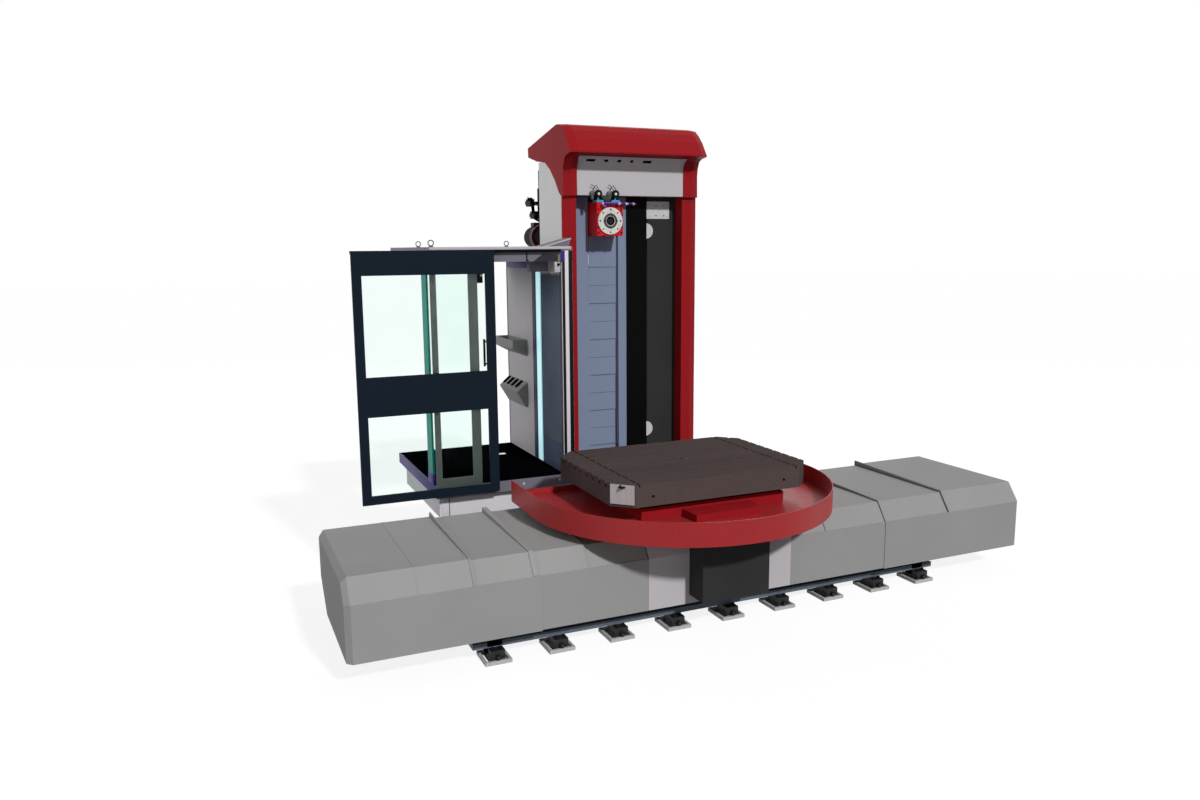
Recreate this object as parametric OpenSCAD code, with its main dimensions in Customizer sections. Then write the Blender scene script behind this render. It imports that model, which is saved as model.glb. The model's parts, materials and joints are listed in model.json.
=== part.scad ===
// Horizontal boring mill: long table bed with telescopic covers, rotary table in a
// round chip tray, travelling column with headstock, and an operator cabin on the column.
// Millimetres, X along the table bed, Y away from the operator, Z up from the floor.
// The origin is the middle of the outline on the floor.

/* [Table bed] */
// Length of the table bed casting
bed_len = 4768; // [4400:2:5600]
// Overall length over the fixed end covers
cover_len = 6780; // [6400:10:7400]
// Height of the telescopic covers above the floor
cover_top = 886; // [800:1:980]
// Pitch of the levelling feet
foot_pitch = 550; // [450:5:600]
// Number of levelling feet in a row
foot_count = 9; // [5:1:11]
// Sheet thickness of the covers
cover_wall = 3; // [2:0.5:4]

/* [Table] */
// Table length along the bed
table_len = 1980; // [1600:10:2200]
// Table width across the bed
table_wid = 1460; // [1200:10:1600]
// Height of the table face above the floor
table_top = 1342; // [1300:1:1400]
// Thickness of the table plate
table_thk = 196; // [160:1:220]
// Size of the corner chamfers
table_chamfer = 166; // [100:1:200]
// Width of the T-slot mouth
slot_w = 28; // [18:1:36]
// Number of T-slots
slot_count = 10; // [6:2:12]
// Radius of the round chip tray
tray_r = 1433; // [1300:1:1500]

/* [Column] */
// Top of the hood above the floor
hood_top = 4572; // [4400:1:4800]
// Height of the spindle axis at the top of its travel
spindle_z = 3580; // [3400:1:3700]
// Width of the red nose box
nose_w = 300; // [260:2:320]
// Height of the red nose box
nose_h = 350; // [300:2:380]
// Radius of the milling sleeve flange
sleeve_r = 140; // [110:1:145]
// Radius of the boring spindle
quill_r = 65; // [50:1:75]

/* [Cabin] */
// Floor height of the operator platform
deck_z = 995; // [940:1:1020]
// Height of the sliding door leaf
door_h = 2378; // [2200:1:2420]
// Width of the sliding door leaf
door_w = 1347; // [1200:1:1400]

/* [Hidden] */
$fn = 64;
e = 0.4;                 // running clearance between bodies
cut = 5;                 // overshoot of cutting bodies
saddle_x = -150;
table_y = 80;
rear_end = 4300;
front_end = table_y - tray_r;
shift_y = -(rear_end + front_end) / 2;
half = cover_len / 2;

// covers: outline across the bed, fixed box outermost
c_front = -702;
c_back = 725;
c_low = 238;
c_kink = 705;
c_in = -574;
c_heel = 527;
c_foot = 387;
prof = [[c_front, c_low], [c_foot, c_low], [c_back, c_heel], [c_back, cover_top],
        [c_in, cover_top], [c_front, c_kink]];
step = cover_wall * 2;   // each box is one sheet and one gap smaller than the next
lip_h = 9;
lip_w = 14;
lip_wide = 44;
lip_rise = 38;           // height of a wiper edge at the back
bead_h = 3;
bead_w = 7;
seam_x = -2834;
end_bevel = 42;
lip_l0 = -2390;
lip_l1 = -1862;
lip_l2 = -1415;
lip_r0 = 2427;
lip_r1 = 1651;
lip_r2 = 964;
len_l1 = 1090;
len_l2 = 1100;
len_l3 = 1200;
len_r1 = 1232;
len_r2 = 1290;
len_r3 = 1000;
apron_half = 721;
skirt_l = -1840;         // ends of the fixed front skirts
skirt_r = 1651;
skirt_lap = 20;          // moving skirt hidden behind a fixed one

// table bed
flange_z0 = 106;
flange_z1 = 154;
flange_y0 = -549;
flange_y1 = 560;
body_y0 = -470;
body_y1 = 330;
deck_low = 560;
deck_hi = 690;
deck_y0 = -560;
deck_y1 = 620;
way_w = 110;
way_h = 30;
way_y0 = -440;
way_y1 = 560;
way_top = deck_hi + way_h;
screw_y = 60;
screw_z = 625;
screw_r = 40;
trough_w = 220;
web = 60;
rib_n = 8;

// feet
tray_w = 225;
tray_d = 268;
tray_y = -660;
tray_h = 31;
tray_rim = 22;
tray_floor = 8;
jack_w = 120;
jack_d = 170;
jack_top = flange_z0;
bolt_r = 14;
nut_r = 24;
nut_h = 20;

// saddle and table base
sad_half = 690;
sad_y0 = -570;
sad_y1 = 640;
sad_top = 850;
neck_half = 600;
neck_hy = 520;
neck_top = 990;
base_half = 722;
base_hy = 632;
base_bk = 596;
base_top = 1100;
step_half = 313;
step_front = 863;
step_top = 1056;
step_back = 622;
rim_z = 1153;
wall_z = 947;
lipback_z = 1045;
floor_z = 984;
tray_wall = 8;
tray_back = 688;
tray_dx = -42;            // tray centre beside the table centre
house_half = 331;
house_y = -930;
house_z = 326;
bear_r = 600;
bear_gap = 1;
hub_r = 150;
bore_r = 30;
gear_r = 470;
gear_h = 45;
worm_r = 34;
worm_len = 520;
table_low = table_top - table_thk;

// column
post_l = -565;
post_li = -509;
post_ri = 746;
post_r = 858;
bev_x = 82;
bev_y = 43;
front_y = 1719;
skin = 6;
side_l = post_l - bev_x;
side_r = post_r + bev_x;
face_y = 1881;
side_y1 = 2500;
col_z0 = 1000;
col_z1 = 4180;
col_base = way_top;
col_back = 2850;
eave_z = 3838;
rear_y0 = 760;
rear_x0 = -470;
rear_x1 = 763;
rear_way_l = -330;
rear_way_r = 620;
leg_li = -330;
leg_ri = 400;
leg_lo = -510;
leg_ro = 800;
slot_l = -309;
slot_r = 44;
panel_l = 141;
panel_r = 387;
ycov_l = -305;
ycov_r = 19;
ycov_step = 394.6;
ycov_z = 3096;
ycov_n = 5;
ycov_wall = 4;
ycov_pitch = 6;
ycov_lap = 25;
nose_y = 1655;
nose_x = saddle_x;
head_z0 = 3230;
head_z1 = 3930;
head_y1 = 2900;
rail_w = 60;
rail_h = 45;
rail_y = 2300;

// hood outline across the column: y, z
hood_front = [[1683, eave_z], [1687, 4060], [1676, 4140], [1643, 4214], [1600, 4240],
              [1481, 4258], [1481, 4272], [1583, 4414], [1661, 4492], [1735, 4548],
              [1815, hood_top - 4], [1910, hood_top]];
hood_rear = [[2798, 4414], [2790, 4314], [2509, 4246]];
hood_cheek = [[2256, 4214], [2107, 4129], [1963, 4004], [1852, 3874], [1790, eave_z]];
hood_wall = 14;

// headstock details
motor_x = -453;
motor_z = 3430;
motor_r = 127;
motor_y0 = 2870;
motor_y1 = 3220;
plate_y0 = 3000;
plate_y1 = 3030;

// cabin
cab_l = -2187;
cab_r = -728;
cab_in = -846;
cab_y0 = 1300;
cab_y1 = 3070;
mat_t = 8;
door_x = -2912;
door_z = 912;
door_y0 = 1235;
door_t = 30;
stile_l = 87;
stile_r = 92;
win_hi = 938;
win_lo = 757;
win_lo_z = 994;
win_hi_z = 2126;
pane_t = 6;
wing_l = -2183;
wing_r = -1721;
wing_post = 58;
wing_post_r = 90;
glass_y0 = 1390;
glass_y1 = 1895;
glass_z0 = 1300;
glass_z1 = 3050;
led_y0 = 1910;
led_y1 = 2035;

// ---- helpers ----
module span(a, b) translate(a) cube(b - a);
module along_x(a, b) translate([a, 0, 0]) rotate([90, 0, 90]) linear_extrude(b - a) children();
module rod_x(y, z, a, b, r) translate([a, y, z]) rotate([0, 90, 0]) cylinder(h = b - a, r = r);
module rod_y(x, z, a, b, r) translate([x, b, z]) rotate([90, 0, 0]) cylinder(h = b - a, r = r);
module rod_z(x, y, a, b, r) translate([x, y, a]) cylinder(h = b - a, r = r);
module place() translate([0, shift_y, 0]) children();

// inward parallel shift of a closed counter-clockwise outline
function turn(a, b) = let (d = (b - a) / norm(b - a)) [-d[1], d[0]];
function mitre(a, b, c, s) = let (m = turn(a, b), n = turn(b, c)) b + (m + n) * s / (1 + m * n);
function inset(p, s) = [for (i = [0:len(p) - 1])
    mitre(p[(i + len(p) - 1) % len(p)], p[i], p[(i + 1) % len(p)], s)];
function opened(p, z) = [for (i = [0:len(p) - 1]) i < 2 ? [p[i][0], z] : p[i]];

// open-bottomed cover box from a to b, k boxes in from the outside
module box_shell(a, b, k) difference() {
    along_x(a, b) polygon(inset(prof, k * step));
    along_x(a - cut, b + cut) polygon(opened(inset(prof, k * step + cover_wall), 0));
}
// raised wiper edge over the roof and slanted edge of a box, from a to b, rising to the back
module box_lip(a, b, k, h = lip_h, rise = lip_rise) difference() {
    top = cover_top - k * step;
    union() {
        along_x(a, b) polygon(inset(prof, k * step - h));
        along_x(a, b) polygon([[c_in, top], [c_back - k * step + h, top],
                               [c_back - k * step + h, top + rise], [c_in, top + h]]);
    }
    along_x(a - cut, b + cut) polygon(inset(prof, k * step));
    span([a - cut, c_front - 2 * lip_h, 0], [b + cut, c_back + 2 * lip_h, c_kink + cut]);
}
// strips along the edges of an end face at x, inwards along s
module end_strips(x, s, width) for (i = [2:len(prof) - 1])
    let (p = prof[i], d = prof[(i + 1) % len(prof)] - p, w = width + i % 2 * cover_wall)
        translate([x, p[0], p[1]]) rotate([atan2(d[1], d[0]), 0, 0])
            translate([0, norm(d) + 3 * w, 0]) rotate([90, 0, 0]) linear_extrude(norm(d) + 6 * w)
                polygon([[-s * cut, -cut], [s * (w + cut), -cut], [-s * cut, w + cut]]);
// box with a closed, bevelled end face at x, open at b
module end_box(x, b, s) difference() {
    along_x(min(x, b), max(x, b)) polygon(prof);
    difference() {
        along_x(min(x + s * cover_wall, b + s * cut), max(x + s * cover_wall, b + s * cut))
            polygon(opened(inset(prof, cover_wall), 0));
        end_strips(x, s, end_bevel + cover_wall * sqrt(2));
    }
    end_strips(x, s, end_bevel);
}
// upright front plate from a to b, k sheets in from the outside
module skirt(a, b, k)
    span([a, c_front + k * step, c_low + k * step],
         [b, c_front + k * step + cover_wall, c_kink - k * step / 2]);

// ---- table bed and rear bed ----
module bed_x() color("slategray") place() difference() {
    union() {
        span([-bed_len / 2, flange_y0, flange_z0], [bed_len / 2, flange_y1, flange_z1]);
        span([-bed_len / 2, body_y0, flange_z1], [bed_len / 2, body_y1, deck_low]);
        span([-bed_len / 2, deck_y0, deck_low], [bed_len / 2, deck_y1, deck_hi]);
    }
    span([-bed_len / 2 - cut, screw_y - trough_w / 2, deck_low],
         [bed_len / 2 + cut, screw_y + trough_w / 2, deck_hi + cut]);
    cell = (bed_len - web) / rib_n;
    for (i = [0:rib_n - 1])
        span([-bed_len / 2 + web + i * cell, body_y0 + web, flange_z0 - cut],
             [-bed_len / 2 + (i + 1) * cell, body_y1 - web, deck_low - web]);
}
module bed_rear() color("slategray") place() difference() {
    union() {
        span([rear_x0 - web, rear_y0, flange_z0], [rear_x1 + web, rear_end, flange_z1]);
        span([rear_x0, rear_y0, flange_z1], [rear_x1, rear_end, deck_hi]);
    }
    span([rear_mid - trough_w / 2, rear_y0 - cut, deck_low],
         [rear_mid + trough_w / 2, rear_end + cut, deck_hi + cut]);
    cell = (rear_end - rear_y0 - web) / rib_n;
    for (i = [0:rib_n - 1], x = [[rear_x0 + web, rear_mid - web / 2], [rear_mid + web / 2, rear_x1 - web]])
        span([x[0], rear_y0 + web + i * cell, flange_z0 - cut],
             [x[1], rear_y0 + (i + 1) * cell, deck_low - web]);
}
rear_mid = (rear_way_l + rear_way_r) / 2;
module bed_ways() color("silver") place() {
    for (y = [way_y0, way_y1])
        span([-bed_len / 2, y - way_w / 2, deck_hi], [bed_len / 2, y + way_w / 2, way_top]);
    for (x = [rear_way_l, rear_way_r])
        span([x - way_w / 2, rear_y0, deck_hi], [x + way_w / 2, rear_end, way_top]);
}
module screw_end(x, y) span([x - web, y - web, deck_low], [x + web, y + web, deck_hi]);
module bed_screws() color("silver") place() {
    for (s = [-1, 1]) screw_end(s * (bed_len / 2 - web), screw_y);
    for (y = [rear_y0 + web, rear_end - web]) screw_end(rear_mid, y);
    rod_x(screw_y, screw_z, web - bed_len / 2, bed_len / 2 - web, screw_r);
    rod_y(rear_mid, screw_z, rear_y0 + web, rear_end - web, screw_r);
}

// ---- levelling feet: [x, y, side] of each foot, side 1 has the tray reaching to -Y ----
rear_feet = 4;
rear_pitch = (rear_end - rear_y0 - 2 * tray_d) / (rear_feet - 1);
feet = concat(
    [for (i = [0:foot_count - 1]) [(i - (foot_count - 1) / 2) * foot_pitch, tray_y]],
    [for (i = [0:foot_count - 1]) [(i - (foot_count - 1) / 2) * foot_pitch, flange_y1 - tray_d / 2]],
    [for (i = [0:rear_feet - 1]) [rear_x0, rear_y0 + tray_d / 2 + i * rear_pitch]],
    [for (i = [0:rear_feet - 1]) [rear_x1, rear_y0 + tray_d / 2 + i * rear_pitch]]);
tray_slot = 72;
module foot_trays() color("lightgray") place() for (p = feet) translate([p[0], p[1], 0])
    difference() {
        span([-tray_w / 2, 0, 0], [tray_w / 2, tray_d, tray_h]);
        span([tray_rim - tray_w / 2, tray_rim, tray_floor],
             [tray_w / 2 - tray_rim, tray_d - tray_rim, tray_h + cut]);
        for (s = [-1, 1])
            span([s * tray_slot - tray_rim / 3, 2 * tray_rim, -cut],
                 [s * tray_slot + tray_rim / 3, tray_d - 2 * tray_rim, tray_h]);
    }
wedge_tilt = 12;
module foot_jacks() color("dimgray") place() for (p = feet) translate([p[0], p[1], 0]) {
    difference() {
        span([-jack_w / 2, tray_rim + cut, tray_floor], [jack_w / 2, tray_rim + cut + jack_d, jack_top]);
        translate([-jack_w, tray_rim, tray_floor + jack_w / 3]) rotate([wedge_tilt, 0, 0])
            cube([2 * jack_w, jack_d / 2, cut]);
    }
    rod_y(0, tray_h + nut_r, tray_rim - nut_h, tray_rim + cut, bolt_r);
}

// ---- telescopic covers of the table bed ----
module cover_ends() color("gray") place() {
    end_box(-half, lip_l0, 1);
    box_lip(lip_l0 - lip_w, lip_l0, 0);
    box_lip(seam_x - bead_w, seam_x, 0, bead_h, bead_h);
    skirt(lip_l0, skirt_l, 0);
    end_box(half, lip_r0, -1);
    skirt(skirt_r, lip_r0, 0);
    box_lip(lip_r0, lip_r0 + lip_w, 0);
}
module cover_left_1() color("gray") place() {
    box_shell(lip_l1 - len_l1, lip_l1, 2);
    box_lip(lip_l1 - lip_wide, lip_l1, 2);
}
module cover_left_2() color("gray") place() {
    box_shell(lip_l2 - len_l2, lip_l2, 3);
    box_lip(lip_l2 - bead_w, lip_l2, 3, bead_h, bead_h);
}
module cover_right_1() color("gray") place() {
    box_shell(lip_r1, lip_r1 + len_r1, 2);
    box_lip(lip_r1, lip_r1 + lip_w, 2);
}
module cover_right_2() color("gray") place() {
    box_shell(lip_r2, lip_r2 + len_r2, 3);
    box_lip(lip_r2, lip_r2 + bead_w, 3, bead_h, bead_h);
}
module skirt_root(a, b)
    span([a, c_front + step, c_low + 4 * step], [b, c_front + 4 * step + cover_wall, c_kink - 2 * step]);
module cover_inner() color("gray") place() {
    xl = saddle_x - apron_half - e;
    xr = saddle_x + apron_half + e;
    box_shell(xl - len_l3, xl, 4);
    box_shell(xr, xr + len_r3, 4);
    skirt(skirt_l - skirt_lap, xl, 1);
    skirt(xr, skirt_r + skirt_lap, 1);
    skirt_root(xl - cover_wall, xl);
    skirt_root(xr, xr + cover_wall);
}

// ---- saddle, tray and table base ----
module saddle() color("dimgray") place() difference() {
    union() {
        span([saddle_x - sad_half, sad_y0, way_top + e], [saddle_x + sad_half, sad_y1, sad_top]);
        span([saddle_x - neck_half, table_y - neck_hy, sad_top],
             [saddle_x + neck_half, table_y + neck_hy, neck_top]);
        span([saddle_x - nut_half, screw_y - nut_w / 2, screw_z - nut_w / 3],
             [saddle_x + nut_half, screw_y + nut_w / 2, way_top + e]);
    }
    rod_x(screw_y, screw_z, -half, half, screw_r + e);
}
nut_half = 130;
nut_w = 150;
module saddle_apron() color("gainsboro") place() difference() {
    box_shell(saddle_x - apron_half, saddle_x + apron_half, 1);
    span([saddle_x - neck_half - web / 4, table_y - neck_hy - web / 4, sad_top],
         [saddle_x + neck_half + web / 4, table_y + neck_hy + web / 4, cover_top + cut]);
}
module tray_plan(s) translate([saddle_x + tray_dx, table_y]) intersection() {
    union() {
        circle(r = tray_r - s, $fn = 160);
        translate([s - tray_r, 0]) square([2 * (tray_r - s), tray_r]);
    }
    translate([-tray_r, -tray_r]) square([2 * tray_r, tray_r + tray_back - table_y - s]);
}
module chip_tray() color("firebrick") place() {
    difference() {
        translate([0, 0, wall_z]) linear_extrude(rim_z - wall_z) tray_plan(0);
        translate([0, 0, wall_z - cut]) linear_extrude(rim_z) tray_plan(tray_wall);
        span([saddle_x + tray_dx - tray_r + tray_wall, tray_back - 2 * tray_wall, lipback_z],
             [saddle_x + tray_dx + tray_r - tray_wall, tray_back + cut, rim_z + cut]);
    }
    difference() {
        translate([0, 0, floor_z]) linear_extrude(neck_top - floor_z) tray_plan(tray_wall);
        span([saddle_x - neck_half - e, table_y - neck_hy - e, floor_z - cut],
             [saddle_x + neck_half + e, table_y + neck_hy + e, neck_top + cut]);
    }
}
module drive_housing() color("#303030") place() difference() {
    span([saddle_x - house_half, house_y, house_z], [saddle_x + house_half, c_front + step, wall_z - cut]);
    span([saddle_x - house_half + 2 * cut, house_y + 2 * cut, house_z - cut],
         [saddle_x + house_half - 2 * cut, c_front, wall_z - 3 * cut]);
}
worm_y = table_y - gear_r - worm_r - e;
gear_z0 = 1046;
pit_z = 1036;
pit_r = 520;
boss_top = table_low - bear_gap;
worm_z = gear_z0 + gear_h / 2 + worm_r / 4;
module table_base() color("firebrick") place() difference() {
    union() {
        span([saddle_x - base_half, table_y - base_hy, neck_top],
             [saddle_x + base_half, table_y + base_bk, base_top]);
        rod_z(saddle_x, table_y, base_top, boss_top, bear_r);
        translate([saddle_x, table_y, neck_top]) linear_extrude(step_top - neck_top)
            polygon([[-step_half, -step_front], [step_half, -step_front],
                     [step_half + web, -step_back], [-step_half - web / 4, -step_back]]);
    }
    rod_z(saddle_x, table_y, pit_z, boss_top + cut, pit_r);
    rod_x(worm_y, worm_z, saddle_x - worm_len / 2 - e, saddle_x + worm_len / 2 + e, worm_r + e);
}
module table_worm() color("silver") place()
    rod_x(worm_y, worm_z, saddle_x - worm_len / 2, saddle_x + worm_len / 2, worm_r);
module table_gear() color("goldenrod") place() difference() {
    union() {
        rod_z(saddle_x, table_y, gear_z0, gear_z0 + gear_h, gear_r);
        rod_z(saddle_x, table_y, gear_z0 + gear_h, table_low, gear_r - 2 * worm_r);
    }
    rod_z(saddle_x, table_y, pit_z, table_low + cut, hub_r);
}

// ---- rotary table ----
slot_pitch = 140;
slot_deep = 30;
head_w = 46;
head_h = 20;
cross_x = 786;
cross_w = 16;
cross_h = 22;
module table_plan() translate([saddle_x, table_y]) polygon([
    for (c = [[-1, -1, 0], [1, -1, 1], [1, 1, 0], [-1, 1, 1]], k = [0, 1])
        let (first = (k == c[2])) [c[0] * (table_len / 2 - (first ? 0 : table_chamfer)),
                                   c[1] * (table_wid / 2 - (first ? table_chamfer : 0))]]);
plug_x = 658;
module table() color("dimgray") place() difference() {
    translate([0, 0, table_low]) linear_extrude(table_thk) table_plan();
    for (i = [0:slot_count - 1]) {
        y = table_y + (i - (slot_count - 1) / 2) * slot_pitch;
        x0 = saddle_x - table_len / 2 - cut;
        x1 = saddle_x + table_len / 2 + cut;
        span([x0, y - slot_w / 2, table_top - slot_deep - cut], [x1, y + slot_w / 2, table_top + cut]);
        span([x0, y - head_w / 2, table_top - slot_deep - head_h],
             [x1, y + head_w / 2, table_top - slot_deep]);
    }
    for (s = [-1, 1])
        span([saddle_x + s * cross_x - cross_w / 2, table_y - table_wid, table_top - cross_h],
             [saddle_x + s * cross_x + cross_w / 2, table_y + table_wid, table_top + cut]);
    rod_z(saddle_x, table_y, table_low - cut, table_top + cut, bore_r);
    for (s = [-1, 1])
        rod_y(saddle_x + s * plug_x, table_top - table_thk / 2 - web / 4,
              table_y - table_wid, table_y - table_wid / 2 + web, bolt_r);
}

// ---- column ----
side_gap = 27;
leg_gap = 2;
in_l = side_l + side_gap;
in_r = side_r - side_gap;
foot_y0 = 1921;
cells = 5;
base_cells = 3;
leg_wall = 45;
module column() color("#3c3c3c") place() difference() {
    union() {
        span([in_l, foot_y0, col_base + e], [in_r, col_back, col_z0]);
        span([in_l, face_y + leg_gap, col_z0], [leg_li, side_y1, col_z1]);
        span([leg_ri, face_y + leg_gap, col_z0], [in_r, side_y1, col_z1]);
        span([leg_lo, side_y1, col_z0], [leg_li, col_back, col_z1]);
        span([leg_ri, side_y1, col_z0], [leg_ro, col_back, col_z1]);
        span([leg_li, face_y + leg_gap, bridge_z], [leg_ri, col_back, col_z1]);
        span([rear_mid - nut_w / 2, face_y + web, screw_z - nut_w / 3],
             [rear_mid + nut_w / 2, face_y + web + 2 * nut_half, col_base + e]);
    }
    rod_y(rear_mid, screw_z, rear_y0, rear_end, screw_r + e);
    for (i = [0:cells - 1]) {
        dz = (col_z1 - col_z0 - leg_wall) / cells;
        z0 = col_z0 + leg_wall + i * dz;
        span([in_l - cut, face_y + leg_wall, z0], [leg_li - leg_wall, side_y1 - leg_wall, z0 + dz - leg_wall]);
        span([leg_ri + leg_wall, face_y + leg_wall, z0], [in_r + cut, side_y1 - leg_wall, z0 + dz - leg_wall]);
    }
    bay = (in_r - in_l - leg_wall) / base_cells;
    for (i = [0:base_cells - 1])
        span([in_l + leg_wall + i * bay, face_y + web + 2 * nut_half + leg_wall, col_base - cut],
             [in_l + (i + 1) * bay, col_back - leg_wall, col_z0 - leg_wall]);
}
bridge_z = 4000;
post_tail = 24;
post_back = face_y - skin - 1;
function post(a, b, o, k) = [   // folded post outline: inner edge a, outer edge b, side o, hand k
    [o, front_y + bev_y + post_tail],
    [o, front_y + bev_y],
    [b, front_y],
    [a, front_y],
    [a, post_back],
    [a + k * skin, post_back],
    [a + k * skin, front_y + skin],
    [b, front_y + skin],
    [o - k * skin, front_y + bev_y + skin / 2],
    [o - k * skin, front_y + bev_y + post_tail]];
module column_frame() color("firebrick") place() translate([0, 0, col_z0]) linear_extrude(eave_z - col_z0 - e) {
    polygon(post(post_li, post_l, side_l, -1));
    polygon(post(post_ri, post_r, side_r, 1));
}
hood_line = concat(hood_front, hood_rear, hood_cheek);
nib = 5;   // short edge of the visor, left out of the inner outline
hood_in = inset([for (i = [0:len(hood_line) - 1]) if (i != nib) hood_line[i]], -hood_wall);
bev_a = atan2(bev_y, bev_x);
hood_face = concat([[hood_front[0][0], eave_z - cut]], hood_front,
                   [[2 * side_y1, hood_top + cut], [2 * side_y1, eave_z - cut]]);
module hood_slant(x) translate([x, 0, 0]) rotate([0, 0, -bev_a]) along_x(-half, half)
    polygon([for (p = hood_face) [p[0] * cos(bev_a), p[1]]]);
module hood() color("firebrick") place() difference() {
    intersection() {
        along_x(side_l, side_r) polygon(hood_line);
        hood_slant(post_l);
        translate([post_l + post_r, 0, 0]) mirror([1, 0, 0]) hood_slant(post_l);
    }
    along_x(post_l + hood_wall, post_r - hood_wall) polygon(hood_in);
    along_x(side_l + hood_wall, side_r - hood_wall) intersection() {
        polygon(hood_in);
        translate([bev_y, 0]) polygon(hood_in);
    }
    span([side_l + hood_wall, front_y + bev_y, eave_z - cut], [side_r - hood_wall, side_y1 - cut, visor_z]);
    span([post_li, hood_front[5][0], eave_z - cut], [post_ri, front_y + 2 * bev_y, visor_z]);
}
visor_z = 4236;
panel_t = 4;
lamp_z0 = 4186;
lamp_z1 = 4210;
lamps = [[-411, -310], [-207, -161], [-57, -11], [94, 130], [242, 343]];
panel_line = [[1602, 4232], [1646, 4214], [1676, 4186], [1692, 4152], [1697, 4110], [1697, 3845], [1872, 3845]];
last = len(panel_line) - 1;
function thicker(i) = panel_line[i] + [i == last ? 0 : panel_t, panel_t];
module hood_panel() color("gainsboro") place() difference() {
    along_x(post_li + e, post_ri - e) polygon(concat(panel_line, [for (i = [last:-1:0]) thicker(i)]));
    for (w = lamps) span([w[0], hood_front[5][0], lamp_z0], [w[1], front_y, lamp_z1]);
}
module side_panels() color("gainsboro") place()
    for (x = [side_l + hood_wall + e, side_r - hood_wall - e - skin])
        span([x, front_y + bev_y + post_tail + ycov_wall, side_z0], [x + skin, side_y1 - 2 * cut, side_z1]);
side_z0 = 760;
side_z1 = 4230;
module way_strips() color("lightsteelblue") place() {
    span([post_li + ycov_wall, face_y - cut, col_z0], [slot_l, face_y + 1, eave_z]);
    span([slot_r, face_y - cut, col_z0], [panel_l, face_y + 1, eave_z]);
    cover_seg(ycov_n + 1);
}
recess_d = 13;
module recess_panel() color("#181818") place()
    span([panel_l + e, face_y - recess_d, col_z0], [panel_r, face_y - cut, eave_z]);
plate_r = 672;
plate_z0 = 3612;
plate_z1 = 3798;
plug_r = 83;
plug_z = [3480, 1265];
plate_in = 30;
plate_t = 4;
screw_head = 9;
module column_fittings() color("silver") place() {
    span([panel_r + cut, face_y - plate_t, plate_z0], [plate_r, face_y + leg_gap, plate_z1]);
    for (x = [panel_r + plate_in * 1.5, plate_r - plate_in], z = [plate_z0 + plate_in, plate_z1 - plate_in])
        rod_y(x, z, face_y - plate_t - cut, face_y - plate_t, screw_head);
    for (z = plug_z) intersection() {
        rod_y(panel_r, z, face_y - plate_t, face_y + leg_gap, plug_r);
        span([panel_r + e, face_y - cut, plug_z[1] - plug_r], [panel_r + plug_r, face_y + cut, plate_z0 - e]);
    }
}
module column_rails() color("silver") place() {
    span([leg_li, rail_y - rail_w / 2, col_z0], [leg_li + rail_h, rail_y + rail_w / 2, bridge_z]);
    span([leg_ri - rail_h, rail_y - rail_w / 2, col_z0], [leg_ri, rail_y + rail_w / 2, bridge_z]);
}

// ---- telescopic covers below the spindle nose, counted downwards ----
crease = 2;
module cover_seg(k) {
    z1 = ycov_z - (k - 1) * ycov_step;
    z0 = z1 - ycov_step;
    y = face_y + leg_gap + (k - 1) * ycov_pitch;
    zm = (z0 + z1) / 2;
    along_x(ycov_l, ycov_r) polygon([[y, z0], [y, zm - crease], [y + crease, zm], [y, zm + crease],
        [y, z1 + ycov_lap], [y + ycov_wall, z1 + ycov_lap], [y + ycov_wall, z0]]);
}
module way_cover_1() color("lightsteelblue") place() cover_seg(1);
module way_cover_2() color("lightsteelblue") place() cover_seg(2);
module way_cover_3() color("lightsteelblue") place() cover_seg(3);
module way_cover_4() color("lightsteelblue") place() cover_seg(4);
module way_cover_5() color("lightsteelblue") place() cover_seg(5);

// ---- headstock ----
nose_z0 = 3424;
nose_z1 = nose_z0 + nose_h;
nose_l = nose_x - nose_w / 2;
nose_ri = nose_x + nose_w / 2;
nose_back = 1889;
head_y0 = 1930;
head_l = -310;
head_r = 390;
fit_gap = 0.05;
shaft_r = 110;
shaft_y1 = 2300;
quill_y0 = 1636;
quill_y1 = 2660;
ring_y0 = 1640;
ring_y1 = 1654.5;
module bore() {
    rod_y(nose_x, spindle_z, nose_y - cut, shaft_y1 + e, shaft_r + fit_gap);
    rod_y(nose_x, spindle_z, shaft_y1, quill_y1 + cut, quill_r + cut);
}
module headstock() color("#444444") place() difference() {
    union() {
        span([head_l, head_y0, head_z0], [head_r, head_y1, head_z1]);
        span([nose_l + cut, nose_back, nose_z0], [nose_ri - cut, head_y0, nose_z1]);
        span([head_l, head_y1, motor_z - motor_r], [head_l + 2 * web, plate_y1, clamp_z1]);
        span([plate_l, plate_y0, motor_z - motor_r / 2], [head_l, plate_y1, clamp_z1]);
        rod_y(motor_x, motor_z, plate_y0, plate_y1, motor_r);
        for (c = clamps) span([c[0], plate_y0, c[1] + arm_in], [plate_l, plate_y1, c[1] + arm_in + arm_h]);
    }
    bore();
    rod_y(motor_x, motor_z, plate_y0 - cut, plate_y1 + cut, motor_r - motor_step);
    for (x = [[leg_li, leg_li + rail_h + e], [leg_ri - rail_h - e, leg_ri]])
        span([x[0], rail_y - rail_w / 2 - e, head_z0 - cut], [x[1], rail_y + rail_w / 2 + e, head_z1 + cut]);
    span([head_l + web, head_y0 + web, spindle_z + shaft_r + web],
         [head_r - web, head_y1 - web, head_z1 - web / 2]);
    span([nose_ri + web, head_y0 + web, head_z0 + web / 2], [head_r - web, head_y1 - web, head_z1 - web]);
}
plate_l = -425;
clamp_z1 = 3900;
clamps = [[-612, 3778], [-562, 3640]];   // x and z of each clamp
arm_in = 22;
arm_h = 40;
motor_step = 12;
module nose_box() color("red") place() difference() {
    span([nose_l, nose_y, nose_z0], [nose_ri, nose_back, nose_z1]);
    bore();
}
recess_z = 3266;
apron_f = face_y - 5;
apron_b = face_y - 1;
recess_f = face_y - 3;
recess_b = face_y + 1;
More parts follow.
